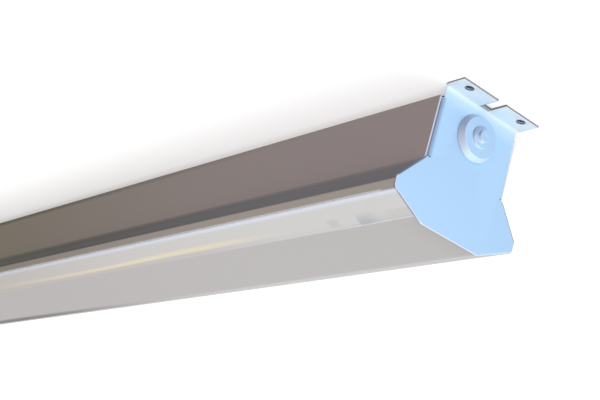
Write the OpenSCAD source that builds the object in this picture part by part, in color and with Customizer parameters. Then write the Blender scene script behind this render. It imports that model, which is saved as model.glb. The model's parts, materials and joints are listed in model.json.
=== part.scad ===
// Surface-mounted batten light: a folded steel body with end plates, a gear tray that drops,
// a tubular lamp in rotary holders and a translucent cover.
// X runs along the light, Z is up, and the ceiling is the plane Z = 0.

/* [Lamp] */
// Length of the lamp from cap face to cap face
lamp_len = 1199.4; // [894.6:0.1:1500]
// Diameter of the lamp
lamp_d = 26; // [22:0.5:27]
// Depth of the lamp's centre below the ceiling
lamp_drop = 62.5; // [61:0.1:64]
// Wall of the glass tube
glass_t = 0.8; // [0.6:0.1:1.2]
// Length of a lamp cap
cap_len = 12.5; // [9:0.5:20]
// Diameter of a lamp pin
pin_d = 2.35; // [2:0.05:2.6]
// Length of a lamp pin outside the cap
pin_len = 7.1; // [6:0.1:7.2]
// Distance between the two pins of a cap
pin_pitch = 12.7; // [11:0.1:13]
// Play between a cap face and its lampholder
lamp_play = 0.5; // [0.2:0.1:1]

/* [Housing] */
// Gap between the ceiling and the top of the spine
ceiling_gap = 6.3; // [5:0.1:15]
// Width of the spine
spine_w = 61; // [58:1:66]
// Height of the spine, from its top to the waist
spine_h = 40.3; // [38:0.1:44]
// Width of the body over the wing tips
wing_w = 92; // [88:1:104]
// Height of the sloping wings
wing_drop = 18.8; // [16:0.1:20]
// Height of the vertical wing tips
tip_h = 6.3; // [5.5:0.1:9]
// Sheet thickness of the housing
housing_t = 0.8; // [0.6:0.1:1]
// Inside radius of the sheet's bends
bend_r = 1.2; // [0.8:0.1:2]
// Diameter of the rear cable entries
entry_d = 20.5; // [16:0.5:21]
// Distance of the rear cable entries from the housing's ends
entry_end = 223.6; // [212:0.1:252]

/* [End plates] */
// Sheet thickness of the end plates
plate_t = 1.2; // [1:0.1:1.6]
// Space between the back of a lampholder and its end plate
end_space = 20.6; // [18:0.1:40]
// How far the housing stops behind the plate's outer face
plate_set = 1.4; // [1.3:0.1:4]
// Reach of the ceiling flange beyond the plate
flange_reach = 15.5; // [14:0.5:25]
// Inside radius of the flange's bend
flange_bend_r = 0.8; // [0.6:0.1:3]
// Diameter of the ceiling screw holes
hole_d = 5.5; // [4:0.1:6.5]
// Distance between the two holes of a flange
hole_pitch = 42.2; // [36:0.1:44]
// Distance of the holes from the plate's outer face
hole_x = 10; // [8.5:0.5:11]
// Width of the flange's central notch
notch_w = 6.2; // [5:0.1:8]
// Depth of the central notch from the flange's edge
notch_depth = 12; // [8:0.5:12]
// Length of the plate's side returns inside the spine
return_len = 12.8; // [8:0.1:14]
// How far the plate reaches below the cover
plate_below = 2.5; // [1:0.1:4]

/* [Cable grommets] */
// Diameter of the grommet's hole in the end plate
grommet_hole_d = 20.5; // [16:0.5:22]
// Depth of the grommet's centre below the ceiling
grommet_drop = 20.7; // [20:0.1:23]
// Diameter of the grommet at the plate
grommet_d = 28.4; // [25:0.1:30]
// Diameter of the grommet's face
grommet_face_d = 24; // [20:0.5:25]
// Height of the grommet's conical body
grommet_h = 4.4; // [3.5:0.1:8]
// Diameter of the first step
step_d = 13; // [10:0.1:15]
// Diameter of the second step
nose_d = 7; // [5:0.1:8]
// Height of the first step
step_h = 1.4; // [1:0.1:5]
// Height of the second step
nose_h = 2.2; // [2:0.1:5]
// Wall of the rubber
rubber_t = 1.4; // [1:0.1:1.8]

/* [Cover] */
// Width of the cover's flat bottom
cover_flat_w = 54; // [48:1:58]
// Depth of the cover's slanted sides
cover_drop = 9.1; // [8:0.1:10]
// Wall of the cover
cover_t = 1.6; // [1.2:0.1:2]
// Height of the rims that stand up inside the wing tips
rim_h = 6; // [4:0.5:8]
// Radius of the cover's lower corners
cover_corner_r = 1.8; // [1.7:0.1:3]

/* [Gear tray] */
// Sheet thickness of the gear tray
tray_t = 0.7; // [0.6:0.1:1]
// Depth of the tray's upper face below the ceiling
tray_drop = 41; // [40:0.1:42]
// Clearance between the tray and the housing
tray_clear = 0.4; // [0.3:0.1:0.8]
// Distance of the captive screws from the housing's ends
tray_screw_end = 173.6; // [132:0.1:177]
// Diameter of the captive screws
tray_screw_d = 5; // [4:0.5:6]

/* [Control gear] */
// Length of the control gear
gear_len = 280; // [200:10:320]
// Width of the control gear
gear_w = 30; // [28:1:36]
// Height of the control gear
gear_h = 21; // [20:1:26]

/* [Lampholders] */
// Thickness of a lampholder along the lamp
holder_t = 13; // [12:0.5:18]
// Width of a lampholder
holder_w = 27; // [25:0.5:30]
// Diameter of the rotor
rotor_d = 18; // [17:0.5:20]
// Depth of the rotor's bore
rotor_depth = 8; // [7.9:0.1:9]

/* [Supply terminals] */
// Distance of the terminal block from the housing's near end
block_end = 93.6; // [72:0.1:102]
// Distance between the poles
pole_pitch = 9.6; // [9:0.1:10.5]
// Length of a terminal lever beyond its hinge
lever_len = 11; // [9:0.5:12]
// Diameter of the lever's hinge pin
lever_pin_d = 2; // [1.6:0.1:2.4]
// Distance of the supply connector from the housing's near end
connector_end = 303.6; // [272:0.1:332]
// Diameter of an insulated lead
lead_d = 2.4; // [2:0.1:2.6]

/* [Hidden] */
$fn = 48;

// Clearances, and how far a cutting solid reaches past what it cuts
run_fit = 0.08;
seat_gap = 0.3;
shoulder_gap = 0.4;
cut = 0.5;

// Small screws
small_screw_d = 3.5;
small_head_d = 5.6;
small_head_h = 2;
screw_tail = 0.6;

// Stations along the light
lamp_half = lamp_len / 2;
holder_x = lamp_half + lamp_play;
holder_back = holder_x + holder_t;
plate_in = holder_back + end_space;
plate_out = plate_in + plate_t;
housing_half = plate_out - plate_set;
return_x = plate_in - return_len;
tray_half = return_x - 1;
cover_half = plate_in - 1;
entry_x = housing_half - entry_end;
tray_screw_x = housing_half - tray_screw_end;
block_x = housing_half - block_end;
connector_x = housing_half - connector_end;
gear_mouth = gear_len / 2 - 0.5;

// Levels
spine_top = -ceiling_gap;
roof = spine_top - housing_t;
waist = spine_top - spine_h;
tip_top = waist - wing_drop;
tip_bottom = tip_top - tip_h;
tray_top = -tray_drop;
tray_under = tray_top - tray_t;
base_t = 0.8;
gear_floor = tray_top + base_t;
lamp_z = -lamp_drop;
shoulder = tip_bottom - shoulder_gap;
cover_bottom = shoulder - cover_drop;
plate_bottom = cover_bottom - plate_below;

// Distances from the middle plane
wall_in = spine_w / 2 - housing_t;
cover_side = wing_w / 2 - 0.6;
rim_out = wing_w / 2 - housing_t - tray_clear - tray_t - cut;
rim_in = rim_out - cover_t;

// Leads: how deep they go into a terminal, how their corners are eased, and their levels
lead_in = 4;
lead_fillet = 7;
lead_pitch = lead_d + 0.4;
supply_lead_z = roof - 6.5;
gear_lead_z = gear_floor + 6;
plug_lead_z = tray_top + 7;
floor_z = tray_top + lead_d / 2 + seat_gap;

// Colours of more than one piece
screw_steel = [0.75, 0.74, 0.7];
brass = [0.8, 0.65, 0.3];

function unit(v) = v / norm(v);
function left_of(v) = [-v[1], v[0]];
function turned(v, a) = [v[0] * cos(a) - v[1] * sin(a), v[0] * sin(a) + v[1] * cos(a)];
function reversed(p) = [for (i = [len(p) - 1 : -1 : 0]) p[i]];
function spread(a, b, count) = [for (i = [0 : count - 1]) a + (b - a) * (i + 0.5) / count];
function both_sides(half) = concat(reversed([for (q = half) [-q[0], q[1]]]), half);

// Corner b between a and c, rounded with radius r: each entry is a point and the left-hand normal there
function rounded_corner(a, b, c, r, n) =
    let (u = unit(b - a), v = unit(c - b), turn = atan2(cross(u, v), u * v), side = sign(turn),
         centre = b - u * r * tan(abs(turn) / 2) + left_of(u) * r * side)
    [for (k = [0 : n]) let (m = turned(left_of(u), turn * k / n)) [centre - m * r * side, m]];

// Middle line of a folded sheet with rounded bends
function fold_line(p, r) =
    let (last = len(p) - 1)
    [for (i = [0 : last])
        each i == 0 ? [[p[0], left_of(unit(p[1] - p[0]))]]
            : i == last ? [[p[last], left_of(unit(p[last] - p[last - 1]))]]
            : rounded_corner(p[i - 1], p[i], p[i + 1], r, 4)];

// A path moved to its left by d, with its corners kept
function beside(p, d) =
    let (last = len(p) - 1)
    [for (i = [0 : last])
        let (u = left_of(unit(p[max(i, 1)] - p[max(i, 1) - 1])),
             v = left_of(unit(p[min(i, last - 1) + 1] - p[min(i, last - 1)])),
             m = unit(u + v))
        p[i] + m * d / (m * u)];

// A closed outline whose corners are rounded with the radii in r
function rounded(p, r) =
    let (count = len(p))
    [for (i = [0 : count - 1])
        each r[i] == 0 ? [p[i]]
            : let (before = p[(i + count - 1) % count], after = p[(i + 1) % count])
              [for (s = rounded_corner(before, p[i], after, r[i], 5)) s[0]]];

// Section of a folded sheet along the middle line p, t thick, with the inside bend radius r
module folded(p, r, t) {
    line = fold_line(p, r + t / 2);
    polygon(concat([for (s = line) s[0] + s[1] * t / 2],
                   reversed([for (s = line) s[0] - s[1] * t / 2])));
}

// A section in Y and Z, drawn out along X
module along_x(x0, x1) {
    translate([x0, 0, 0]) rotate([90, 0, 90]) linear_extrude(x1 - x0) children();
}

// A section in X and Z, drawn out along Y to both sides
module across(width) {
    translate([0, width / 2, 0]) rotate([90, 0, 0]) linear_extrude(width) children();
}

module rod_x(d, x0, x1) {
    translate([x0, 0, 0]) rotate([0, 90, 0]) cylinder(d = d, h = x1 - x0);
}

module rod_z(d, z0, z1) {
    translate([0, 0, z0]) cylinder(d = d, h = z1 - z0);
}

module block(x0, x1, y0, y1, z0, z1) {
    translate([x0, y0, z0]) cube([x1 - x0, y1 - y0, z1 - z0]);
}

// Places children at the near end, or mirrored at the far end
module at_end(side) {
    mirror([side < 0 ? 1 : 0, 0, 0]) children();
}

// Housing

function housing_half_path() = [
    [spine_w / 2 - housing_t / 2, spine_top - housing_t / 2],
    [spine_w / 2 - housing_t / 2, waist],
    [wing_w / 2 - housing_t / 2, tip_top],
    [wing_w / 2 - housing_t / 2, tip_bottom]
];

module housing() {
    color([0.55, 0.5, 0.47]) difference() {
        along_x(-housing_half, housing_half)
            folded(both_sides(housing_half_path()), bend_r, housing_t);
        for (side = [-1, 1])
            translate([side * entry_x, 0, 0]) rod_z(entry_d, roof - cut, spine_top + cut);
        for (x = [block_x - block_screw_dx, block_x + block_screw_dx])
            translate([x, 0, 0]) rod_z(small_screw_d, roof - cut, spine_top + cut);
        for (side = [-1, 1])
            translate([connector_x, side * socket_screw_y, 0])
                rod_z(small_screw_d, roof - cut, spine_top + cut);
    }
}

// Bridges across the spine, welded to its walls, that take the captive screws
bridge_t = 1.5;
bridge_w = 22;
bridge_z = tray_top + 8;
bridge_ear = 12;
bridge_bend_r = 1;

module tray_bridges() {
    color([0.72, 0.72, 0.7])
        for (side = [-1, 1])
            difference() {
                translate([side * tray_screw_x, 0, 0]) along_x(-bridge_w / 2, bridge_w / 2)
                    folded(both_sides([[wall_in - bridge_t / 2, bridge_z],
                                       [wall_in - bridge_t / 2, bridge_z + bridge_ear]]),
                           bridge_bend_r, bridge_t);
                translate([side * tray_screw_x, 0, 0])
                    rod_z(tray_screw_d + 2 * run_fit, bridge_z - bridge_t, bridge_z + bridge_t);
            }
}

// Spare rear entry, closed with a snap-in plug
module entry_plug() {
    head_d = entry_d + 5;
    head_h = 1.6;
    lip_d = entry_d + 1.6;
    lip_h = 1.2;
    color([0.25, 0.25, 0.26]) translate([-entry_x, 0, 0]) {
        rod_z(head_d, spine_top, spine_top + head_h);
        rod_z(entry_d, roof, spine_top);
        rod_z(lip_d, roof - lip_h, roof);
    }
}

// End plates: one blank, cut, with its flange and the two returns of the spine folded out of it

return_fold_r = 0.6;
return_low = waist + 1.2;
return_high = roof - bend_r - 0.2;
relief = 0.6;
neck_half = wall_in - 1.3;

// Half of the plate's outline below the flange: its lower edge follows the slope of the cover's side
function plate_outline_half() =
    let (fold = wall_in - return_fold_r - plate_t, wing_start = spine_w / 2 - 0.3, tip = wing_w / 2,
         cover_slope = (cover_side - cover_flat_w / 2) / cover_drop)
    [[neck_half, -(flange_bend_r + plate_t + relief)],
     [neck_half, return_high + relief],
     [fold, return_high + relief],
     [fold, return_low - relief],
     [wing_start, return_low - relief],
     [tip, tip_top + 0.5],
     [tip - 0.3, tip_bottom],
     [cover_flat_w / 2 - plate_below * cover_slope, plate_bottom]];

module end_plate(side) {
    wing_r = 1.5;
    tip_r = 2.6;
    foot_r = 2;
    radii = [0, 0, 0, 0, 0, wing_r, tip_r, foot_r];
    plate_mid = plate_out - plate_t / 2;
    return_mid = wall_in - plate_t / 2;
    flange_end = plate_out + flange_reach;
    ear_w = spine_w / 2 - neck_half - relief;
    color([0.7, 0.84, 1]) at_end(side) difference() {
        union() {
            along_x(plate_in, plate_out)
                polygon(rounded(both_sides(plate_outline_half()), concat(reversed(radii), radii)));
            translate([0, 0, return_low]) linear_extrude(return_high - return_low)
                folded([[return_x, return_mid], [plate_mid, return_mid],
                        [plate_mid, -return_mid], [return_x, -return_mid]], return_fold_r, plate_t);
            across(2 * neck_half)
                folded([[plate_mid, -ceiling_gap], [plate_mid, -plate_t / 2],
                        [flange_end, -plate_t / 2]], flange_bend_r, plate_t);
            block(plate_out + flange_bend_r, flange_end, -spine_w / 2, spine_w / 2, -plate_t, 0);
            for (y = [-spine_w / 2, neck_half + relief])
                block(plate_out, flange_end, y, y + ear_w, -plate_t, 0);
        }
        for (y = [-hole_pitch / 2, hole_pitch / 2])
            translate([plate_out + hole_x, y, 0]) rod_z(hole_d, -plate_t - cut, cut);
        block(flange_end - notch_depth, flange_end + cut,
              -notch_w / 2, notch_w / 2, -flange_bend_r - plate_t, cut);
        translate([0, 0, -grommet_drop])
            rod_x(grommet_hole_d, plate_in - cut, plate_out + cut);
    }
}

// Stepped rubber grommet: cut at a step to suit the cable
module cable_grommet(side) {
    neck = grommet_hole_d / 2;
    lip = neck + 1.7;
    lip_back = -plate_t - 2;
    brim = grommet_d / 2;
    brim_h = 1;
    face = grommet_face_d / 2;
    step = step_d / 2;
    nose = nose_d / 2;
    h1 = grommet_h;
    h2 = h1 + step_h;
    h3 = h2 + nose_h;
    edge = 0.3;
    dimple = 1.1;
    dimple_h = h3 - 0.6;
    color([0.68, 0.82, 0.97]) at_end(side)
        translate([plate_out, 0, -grommet_drop]) rotate([0, 90, 0])
            rotate_extrude()
                polygon([[neck - rubber_t, lip_back], [lip, lip_back], [lip, -plate_t],
                         [neck, -plate_t], [neck, 0], [brim, 0],
                         [brim, brim_h], [face + 2 * edge, h1 - edge], [face, h1],
                         [step, h1], [step, h2], [nose, h2], [nose, h3 - edge], [nose - edge, h3],
                         [dimple, h3], [dimple, dimple_h], [0, dimple_h],
                         [0, dimple_h - rubber_t], [nose - rubber_t, dimple_h - rubber_t],
                         [nose - rubber_t, h2 - rubber_t], [step - rubber_t, h2 - rubber_t],
                         [step - rubber_t, h1 - rubber_t], [neck - rubber_t, h1 - rubber_t]]);
}

// Cover

function cover_half_section() =
    let (flat = cover_flat_w / 2,
         run = unit([cover_side - flat, cover_drop]),
         inner = [flat, cover_bottom] + left_of(run) * cover_t,
         slope = run[1] / run[0],
         edge_r = 0.4)
    [[[flat, cover_bottom], [cover_side, shoulder], [rim_out, shoulder], [rim_out, shoulder + rim_h],
      [rim_in, shoulder + rim_h], [rim_in, inner[1] + (rim_in - inner[0]) * slope],
      [inner[0] + (cover_bottom + cover_t - inner[1]) / slope, cover_bottom + cover_t]],
     [cover_corner_r, edge_r, 0, edge_r, edge_r, 0, cover_corner_r - cover_t]];

module diffuser() {
    half = cover_half_section();
    color([0.9, 0.89, 0.88, 0.7]) along_x(-cover_half, cover_half)
        polygon(rounded(concat(half[0], reversed([for (q = half[0]) [-q[0], q[1]]])),
                        concat(half[1], reversed(half[1]))));
}

// Gear tray

function tray_wing() = beside(housing_half_path(), -(housing_t / 2 + tray_clear + tray_t / 2));

function tray_half_path() =
    let (w = tray_wing())
    [[w[1][0], tray_top - tray_t / 2], w[1], w[2], [w[3][0], tip_bottom + cut]];

gear_foot = 11;
gear_screw_x = gear_len / 2 + gear_foot / 2;
foot_w = 20;
foot_inset = 1.5;
foot_play = 0.2;
foot_top = tray_top + 3;
foot_ear = 1.6;
clip_w = 14;

function clip_stations() = [-holder_x * 0.8, 0, holder_x * 0.8];

module gear_tray() {
    color([0.93, 0.93, 0.92]) difference() {
        along_x(-tray_half, tray_half)
            folded(both_sides(tray_half_path()), bend_r, tray_t);
        for (side = [-1, 1]) {
            translate([side * tray_screw_x, 0, 0])
                rod_z(tray_screw_d + 2 * run_fit, tray_under - cut, tray_top + cut);
            translate([side * gear_screw_x, 0, 0])
                rod_z(small_screw_d, tray_under - cut, tray_top + cut);
            at_end(side)
                block(holder_x + foot_inset - foot_play, holder_back - foot_inset + foot_play,
                      -foot_w / 2 - foot_play, foot_w / 2 + foot_play,
                      tray_under - cut, tray_top + cut);
        }
        for (y = plug_screw_ys())
            translate([connector_x, y, 0]) rod_z(small_screw_d, tray_under - cut, tray_top + cut);
        clip_rivet_holes();
    }
}

// Captive screws that hold the tray up to the bridges
screw_head_d = 11;
screw_head_h = 4;
screw_slot_w = 1.2;
screw_slot_depth = 1.4;
ring_h = 1.2;

module tray_screws() {
    head_low = tray_under - screw_head_h;
    color(screw_steel)
        for (side = [-1, 1])
            translate([side * tray_screw_x, 0, 0]) difference() {
                union() {
                    rod_z(screw_head_d, head_low, tray_under);
                    rod_z(tray_screw_d, tray_under, bridge_z + bridge_t + 3);
                }
                block(-screw_head_d, screw_head_d, -screw_slot_w / 2, screw_slot_w / 2,
                      head_low - cut, head_low + screw_slot_depth);
            }
}

module tray_screw_rings() {
    color([0.2, 0.2, 0.21])
        for (side = [-1, 1])
            translate([side * tray_screw_x, 0, 0]) difference() {
                rod_z(tray_screw_d + 5, tray_top, tray_top + ring_h);
                rod_z(tray_screw_d, tray_top - cut, tray_top + ring_h + cut);
            }
}

// Control gear

gear_wall = 0.8;
gear_cap_len = 12;
gear_inner = gear_len / 2 - gear_cap_len;
gear_roof = tray_top + gear_h;
gear_pitch = 5.6;

module gear_base() {
    color([0.8, 0.8, 0.79]) difference() {
        block(-gear_len / 2 - gear_foot, gear_len / 2 + gear_foot,
              -gear_w / 2, gear_w / 2, tray_top, gear_floor);
        for (side = [-1, 1])
            translate([side * gear_screw_x, 0, 0])
                rod_z(small_screw_d, tray_top - cut, gear_floor + cut);
    }
}

module gear_cover() {
    inner_y = gear_w / 2 - gear_wall;
    color([0.92, 0.92, 0.9]) difference() {
        block(-gear_inner, gear_inner, -gear_w / 2, gear_w / 2, gear_floor, gear_roof);
        block(-gear_inner + gear_wall, gear_inner - gear_wall, -inner_y, inner_y,
              gear_floor - cut, gear_roof - gear_wall);
    }
}

// Circuit board of the control gear on four short posts, with the tall parts that it carries
module gear_board() {
    board_z = gear_floor + 3;
    board_t = 1.6;
    edge = gear_w / 2 - gear_wall - 0.4;
    reach = gear_inner - 3;
    top = board_z + board_t;
    room = gear_roof - gear_wall - 0.7 - top;
    post_d = 3;
    post_in = 4;
    reservoir_d = 10;
    filter_d = 7;
    color([0.2, 0.42, 0.25]) {
        block(-reach, reach, -edge, edge, board_z, top);
        for (x = [-reach + post_in, reach - post_in], y = [-edge + post_in, edge - post_in])
            translate([x, y, 0]) rod_z(post_d, gear_floor, board_z);
        for (part = [[-0.056, 26, 0.85], [0.368, 16, 0.7], [-0.384, 8, 0.5]])
            block(part[0] * reach - part[1] / 2, part[0] * reach + part[1] / 2,
                  -edge + 3, edge - 3, top, top + room * part[2]);
        for (share = [-0.856, -0.712])
            translate([share * reach, 0, 0]) rod_z(reservoir_d, top, top + room * 0.9);
        for (share = [0.576, 0.704])
            translate([share * reach, edge / 3, 0]) rod_z(filter_d, top, top + room * 0.6);
    }
}

function gear_pole(i, count) = (i - (count - 1) / 2) * gear_pitch;

module gear_terminals() {
    top = gear_floor + 11;
    color([0.96, 0.96, 0.95])
        for (side = [-1, 1]) {
            count = side > 0 ? 3 : 4;
            at_end(side) difference() {
                block(gear_inner, gear_mouth, -gear_w / 2 + 1, gear_w / 2 - 1, gear_floor, top);
                for (i = [0 : count - 1])
                    translate([0, gear_pole(i, count), gear_lead_z])
                        rod_x(lead_d, gear_mouth - lead_in, gear_mouth + cut);
            }
        }
}

module gear_screws() {
    color(screw_steel)
        for (side = [-1, 1])
            translate([side * gear_screw_x, 0, 0]) {
                rod_z(7, gear_floor, gear_floor + 2.4);
                rod_z(small_screw_d, tray_under - 2.5, gear_floor);
            }
}

// Supply connector: the socket stays in the housing, the plug comes away with the tray

socket_w = 34;
socket_len = 16;
socket_low = roof - 15.5;
socket_screw_y = socket_w / 2 - 3.4;
screw_sink = 3;
plug_w = socket_w - 13;
plug_pin_d = 3;
plug_pin_len = 9;
plug_pin_root = 6;
plug_pitch = 7;
plug_flange_h = 2.5;
plug_roof = socket_low - seat_gap;

function pole_y(i) = (i - 1) * plug_pitch;
function plug_screw_ys() = [-socket_screw_y, socket_screw_y];

module supply_socket() {
    color([0.95, 0.95, 0.94]) difference() {
        block(connector_x - socket_len / 2, connector_x + socket_len / 2,
              -socket_w / 2, socket_w / 2, socket_low, roof);
        for (i = [0 : 2]) {
            translate([connector_x, pole_y(i), 0])
                rod_z(plug_pin_d + 2 * run_fit, socket_low - cut, socket_low + plug_pin_len + 1);
            translate([0, pole_y(i), supply_lead_z])
                rod_x(lead_d, connector_x + socket_len / 2 - lead_in, connector_x + socket_len);
        }
        for (side = [-1, 1])
            translate([connector_x, side * socket_screw_y, 0]) {
                rod_z(small_screw_d, socket_low, roof + cut);
                rod_z(small_head_d + 2 * seat_gap, socket_low - cut, socket_low + screw_sink);
            }
    }
}

module socket_screws() {
    color(screw_steel)
        for (side = [-1, 1])
            translate([connector_x, side * socket_screw_y, 0]) {
                rod_z(small_head_d, socket_low + screw_sink - small_head_h, socket_low + screw_sink);
                rod_z(small_screw_d, socket_low + screw_sink, spine_top + screw_tail);
            }
}

module supply_plug() {
    color([0.95, 0.95, 0.94]) difference() {
        union() {
            block(connector_x - socket_len / 2, connector_x + socket_len / 2,
                  -socket_w / 2, socket_w / 2, tray_top, tray_top + plug_flange_h);
            block(connector_x - socket_len / 2, connector_x + socket_len / 2,
                  -plug_w / 2, plug_w / 2, tray_top, plug_roof);
        }
        for (i = [0 : 2]) {
            translate([connector_x, pole_y(i), 0])
                rod_z(plug_pin_d, plug_roof - plug_pin_root, plug_roof + cut);
            translate([0, pole_y(i), plug_lead_z])
                rod_x(lead_d, connector_x - socket_len, connector_x - socket_len / 2 + lead_in);
        }
        for (y = plug_screw_ys())
            translate([connector_x, y, 0])
                rod_z(small_screw_d, tray_top - cut, tray_top + plug_flange_h + cut);
    }
}

module plug_pins() {
    color(brass)
        for (i = [0 : 2])
            translate([connector_x, pole_y(i), 0])
                rod_z(plug_pin_d, plug_roof - plug_pin_root, plug_roof + plug_pin_len);
}

module plug_screws() {
    color(screw_steel)
        for (y = plug_screw_ys())
            translate([connector_x, y, 0]) {
                rod_z(small_screw_d, tray_under - 1.5, tray_top + plug_flange_h);
                rod_z(small_head_d, tray_top + plug_flange_h, tray_top + plug_flange_h + small_head_h);
            }
}

// Supply terminal block with one lever for each pole

cheek_t = 2.2;
block_len = 22;
block_low = roof - 17;
block_w = 3 * pole_pitch + cheek_t;
block_screw_dx = block_len / 2 + 4;
block_ear_h = 3;
block_ear_w = 10;
supply_hole_d = 3.4;
lever_play = 0.2;
lever_w = pole_pitch - cheek_t - 2 * lever_play;
lever_t = 2.6;
lever_x = block_x + 6;
lever_z = block_low + 1.7;
lever_hub_d = 3.2;
pin_bite = 1.2;

module terminal_block() {
    color([0.94, 0.94, 0.92]) difference() {
        union() {
            block(block_x - block_len / 2, block_x + block_len / 2,
                  -block_w / 2, block_w / 2, block_low, roof);
            block(block_x - block_screw_dx - 4, block_x + block_screw_dx + 4,
                  -block_ear_w / 2, block_ear_w / 2, roof - block_ear_h, roof);
        }
        for (i = [0 : 2]) translate([0, (i - 1) * pole_pitch, 0]) {
            block(lever_x - lever_len - 0.5, block_x + block_len / 2 + cut,
                  -lever_w / 2 - lever_play, lever_w / 2 + lever_play,
                  block_low - cut, block_low + lever_t + 1);
            translate([lever_x, 0, lever_z]) rotate([90, 0, 0])
                cylinder(d = lever_pin_d + 2 * run_fit, h = lever_w + 2 * (lever_play + pin_bite),
                         center = true);
            translate([0, 0, supply_lead_z])
                rod_x(lead_d, block_x - block_len, block_x - block_len / 2 + lead_in);
            translate([0, 0, supply_lead_z])
                rod_x(supply_hole_d, block_x + block_len / 2 - lead_in, block_x + block_len);
            block(block_x - bar_half, block_x + bar_half, -bar_w / 2, bar_w / 2, bar_z, bar_z + bar_t);
        }
        translate([0, 0, lug_z]) rod_x(lead_d, block_x - block_len, block_x - block_len / 2 + lead_in);
        for (side = [-1, 1])
            translate([block_x + side * block_screw_dx, 0, 0])
                rod_z(small_screw_d, roof - block_ear_h - cut, roof + cut);
    }
}

// Contact bars sealed inside the block
bar_half = 4.5;
bar_w = 5;
bar_t = 1;
bar_z = block_low + lever_t + 2;

module contact_bars() {
    color(brass)
        for (i = [0 : 2]) translate([0, (i - 1) * pole_pitch, 0])
            block(block_x - bar_half, block_x + bar_half, -bar_w / 2, bar_w / 2, bar_z, bar_z + bar_t);
}

module terminal_screws() {
    color(screw_steel)
        for (side = [-1, 1])
            translate([block_x + side * block_screw_dx, 0, 0]) {
                rod_z(small_head_d, roof - block_ear_h - small_head_h, roof - block_ear_h);
                rod_z(small_screw_d, roof - block_ear_h, spine_top + screw_tail);
            }
}

module lever(i) {
    low = -lever_hub_d / 2;
    tab_len = 1.5;
    tab_h = 1;
    color([0.9, 0.45, 0.12]) translate([lever_x, (i - 1) * pole_pitch, lever_z]) {
        rotate([90, 0, 0]) {
            cylinder(d = lever_hub_d, h = lever_w, center = true);
            cylinder(d = lever_pin_d, h = lever_w + 2 * (lever_play + pin_bite) - seat_gap, center = true);
        }
        block(-lever_len, 0, -lever_w / 2, lever_w / 2, low, low + lever_t);
        block(-lever_len, -lever_len + tab_len, -lever_w / 2, lever_w / 2, low - tab_h, low);
    }
}

// Earth stud welded to the roof of the spine
stud_from_block = 60;
stud_x = block_x - stud_from_block;
stud_y = 17;
stud_d = 4;
stud_len = 16;
weld_d = 8;
weld_h = 1.2;
lug_t = 0.8;
lug_z = roof - 10.3;
lug_d = 8.4;
barrel_near = 6.5;
barrel_far = 13;
nut_w = 8;
nut_h = 3.2;

module earth_stud() {
    color(brass) translate([stud_x, stud_y, 0]) {
        rod_z(weld_d, roof - weld_h, roof);
        rod_z(stud_d, roof - stud_len, roof - weld_h);
    }
}

module earth_nuts() {
    color(screw_steel) translate([stud_x, stud_y, 0]) difference() {
        for (z = [lug_z + lug_t / 2, lug_z - lug_t / 2 - nut_h])
            translate([0, 0, z]) cylinder(d = nut_w, h = nut_h, $fn = 6);
        rod_z(stud_d, roof - stud_len, roof);
    }
}

// Ring terminal on the stud, with the barrel that grips the earth lead
module earth_lug() {
    barrel_d = lead_d + 1.6;
    color(brass) translate([stud_x, stud_y, 0]) difference() {
        union() {
            rod_z(lug_d, lug_z - lug_t / 2, lug_z + lug_t / 2);
            block(0, barrel_near + cut, -barrel_d / 2, barrel_d / 2, lug_z - lug_t / 2, lug_z + lug_t / 2);
            translate([0, 0, lug_z]) rod_x(barrel_d, barrel_near, barrel_far);
        }
        rod_z(stud_d, lug_z - lug_t, lug_z + lug_t);
        translate([0, 0, lug_z]) rod_x(lead_d, barrel_far - 5, barrel_far + cut);
    }
}

module earth_lead() {
    x0 = block_x - block_len / 2 + lead_in;
    x1 = stud_x + barrel_far - 5;
    third = (x0 - x1) / 3;
    color([0.45, 0.65, 0.2])
        lead([[x0, 0, lug_z], [x0 - third, 0, lug_z], [x1 + third, stud_y, lug_z], [x1, stud_y, lug_z]],
             lead_d);
}

// Leads

// A route with its corners eased
function eased(p, r) =
    let (last = len(p) - 1)
    [for (i = [0 : last])
        each i == 0 || i == last ? [p[i]]
            : let (back = p[i - 1] - p[i], on = p[i + 1] - p[i],
                   e = min(r, norm(back) / 2.1, norm(on) / 2.1),
                   a = p[i] + unit(back) * e, b = p[i] + unit(on) * e)
              [for (k = [0 : 4]) let (w = k / 4)
                  (1 - w) * (1 - w) * a + 2 * w * (1 - w) * p[i] + w * w * b]];

// Directions along a route, one for each point
function route_ways(p) =
    let (last = len(p) - 1)
    [for (i = [0 : last])
        unit(p[min(i + 1, last)] - p[max(i - 1, 0)])];

// A side direction carried along the route without twist
function route_sides(ways) =
    let (start = unit(cross(ways[0], abs(ways[0][2]) > 0.7 ? [0, 1, 0] : [0, 0, 1])))
    [for (i = 0, s = start; i < len(ways); i = i + 1,
          s = i < len(ways) ? unit(s - (s * ways[i]) * ways[i]) : s) s];

// A round lead of diameter d along a route
module lead(route, d) {
    n = 8;
    p = eased(route, lead_fillet);
    ways = route_ways(p);
    sides = route_sides(ways);
    last = len(p) - 1;
    points = [for (i = [0 : last], k = [0 : n - 1])
        let (a = 360 * k / n) p[i] + d / 2 * (cos(a) * sides[i] + sin(a) * cross(ways[i], sides[i]))];
    faces = concat(
        [[for (k = [0 : n - 1]) k]],
        [[for (k = [n - 1 : -1 : 0]) last * n + k]],
        [for (i = [0 : last - 1], k = [0 : n - 1], half = [0, 1])
            let (a = i * n + k, b = i * n + (k + 1) % n, c = b + n, e = a + n)
            half == 0 ? [a, c, b] : [a, e, c]]);
    polyhedron(points, faces, convexity = 6);
}

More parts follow.
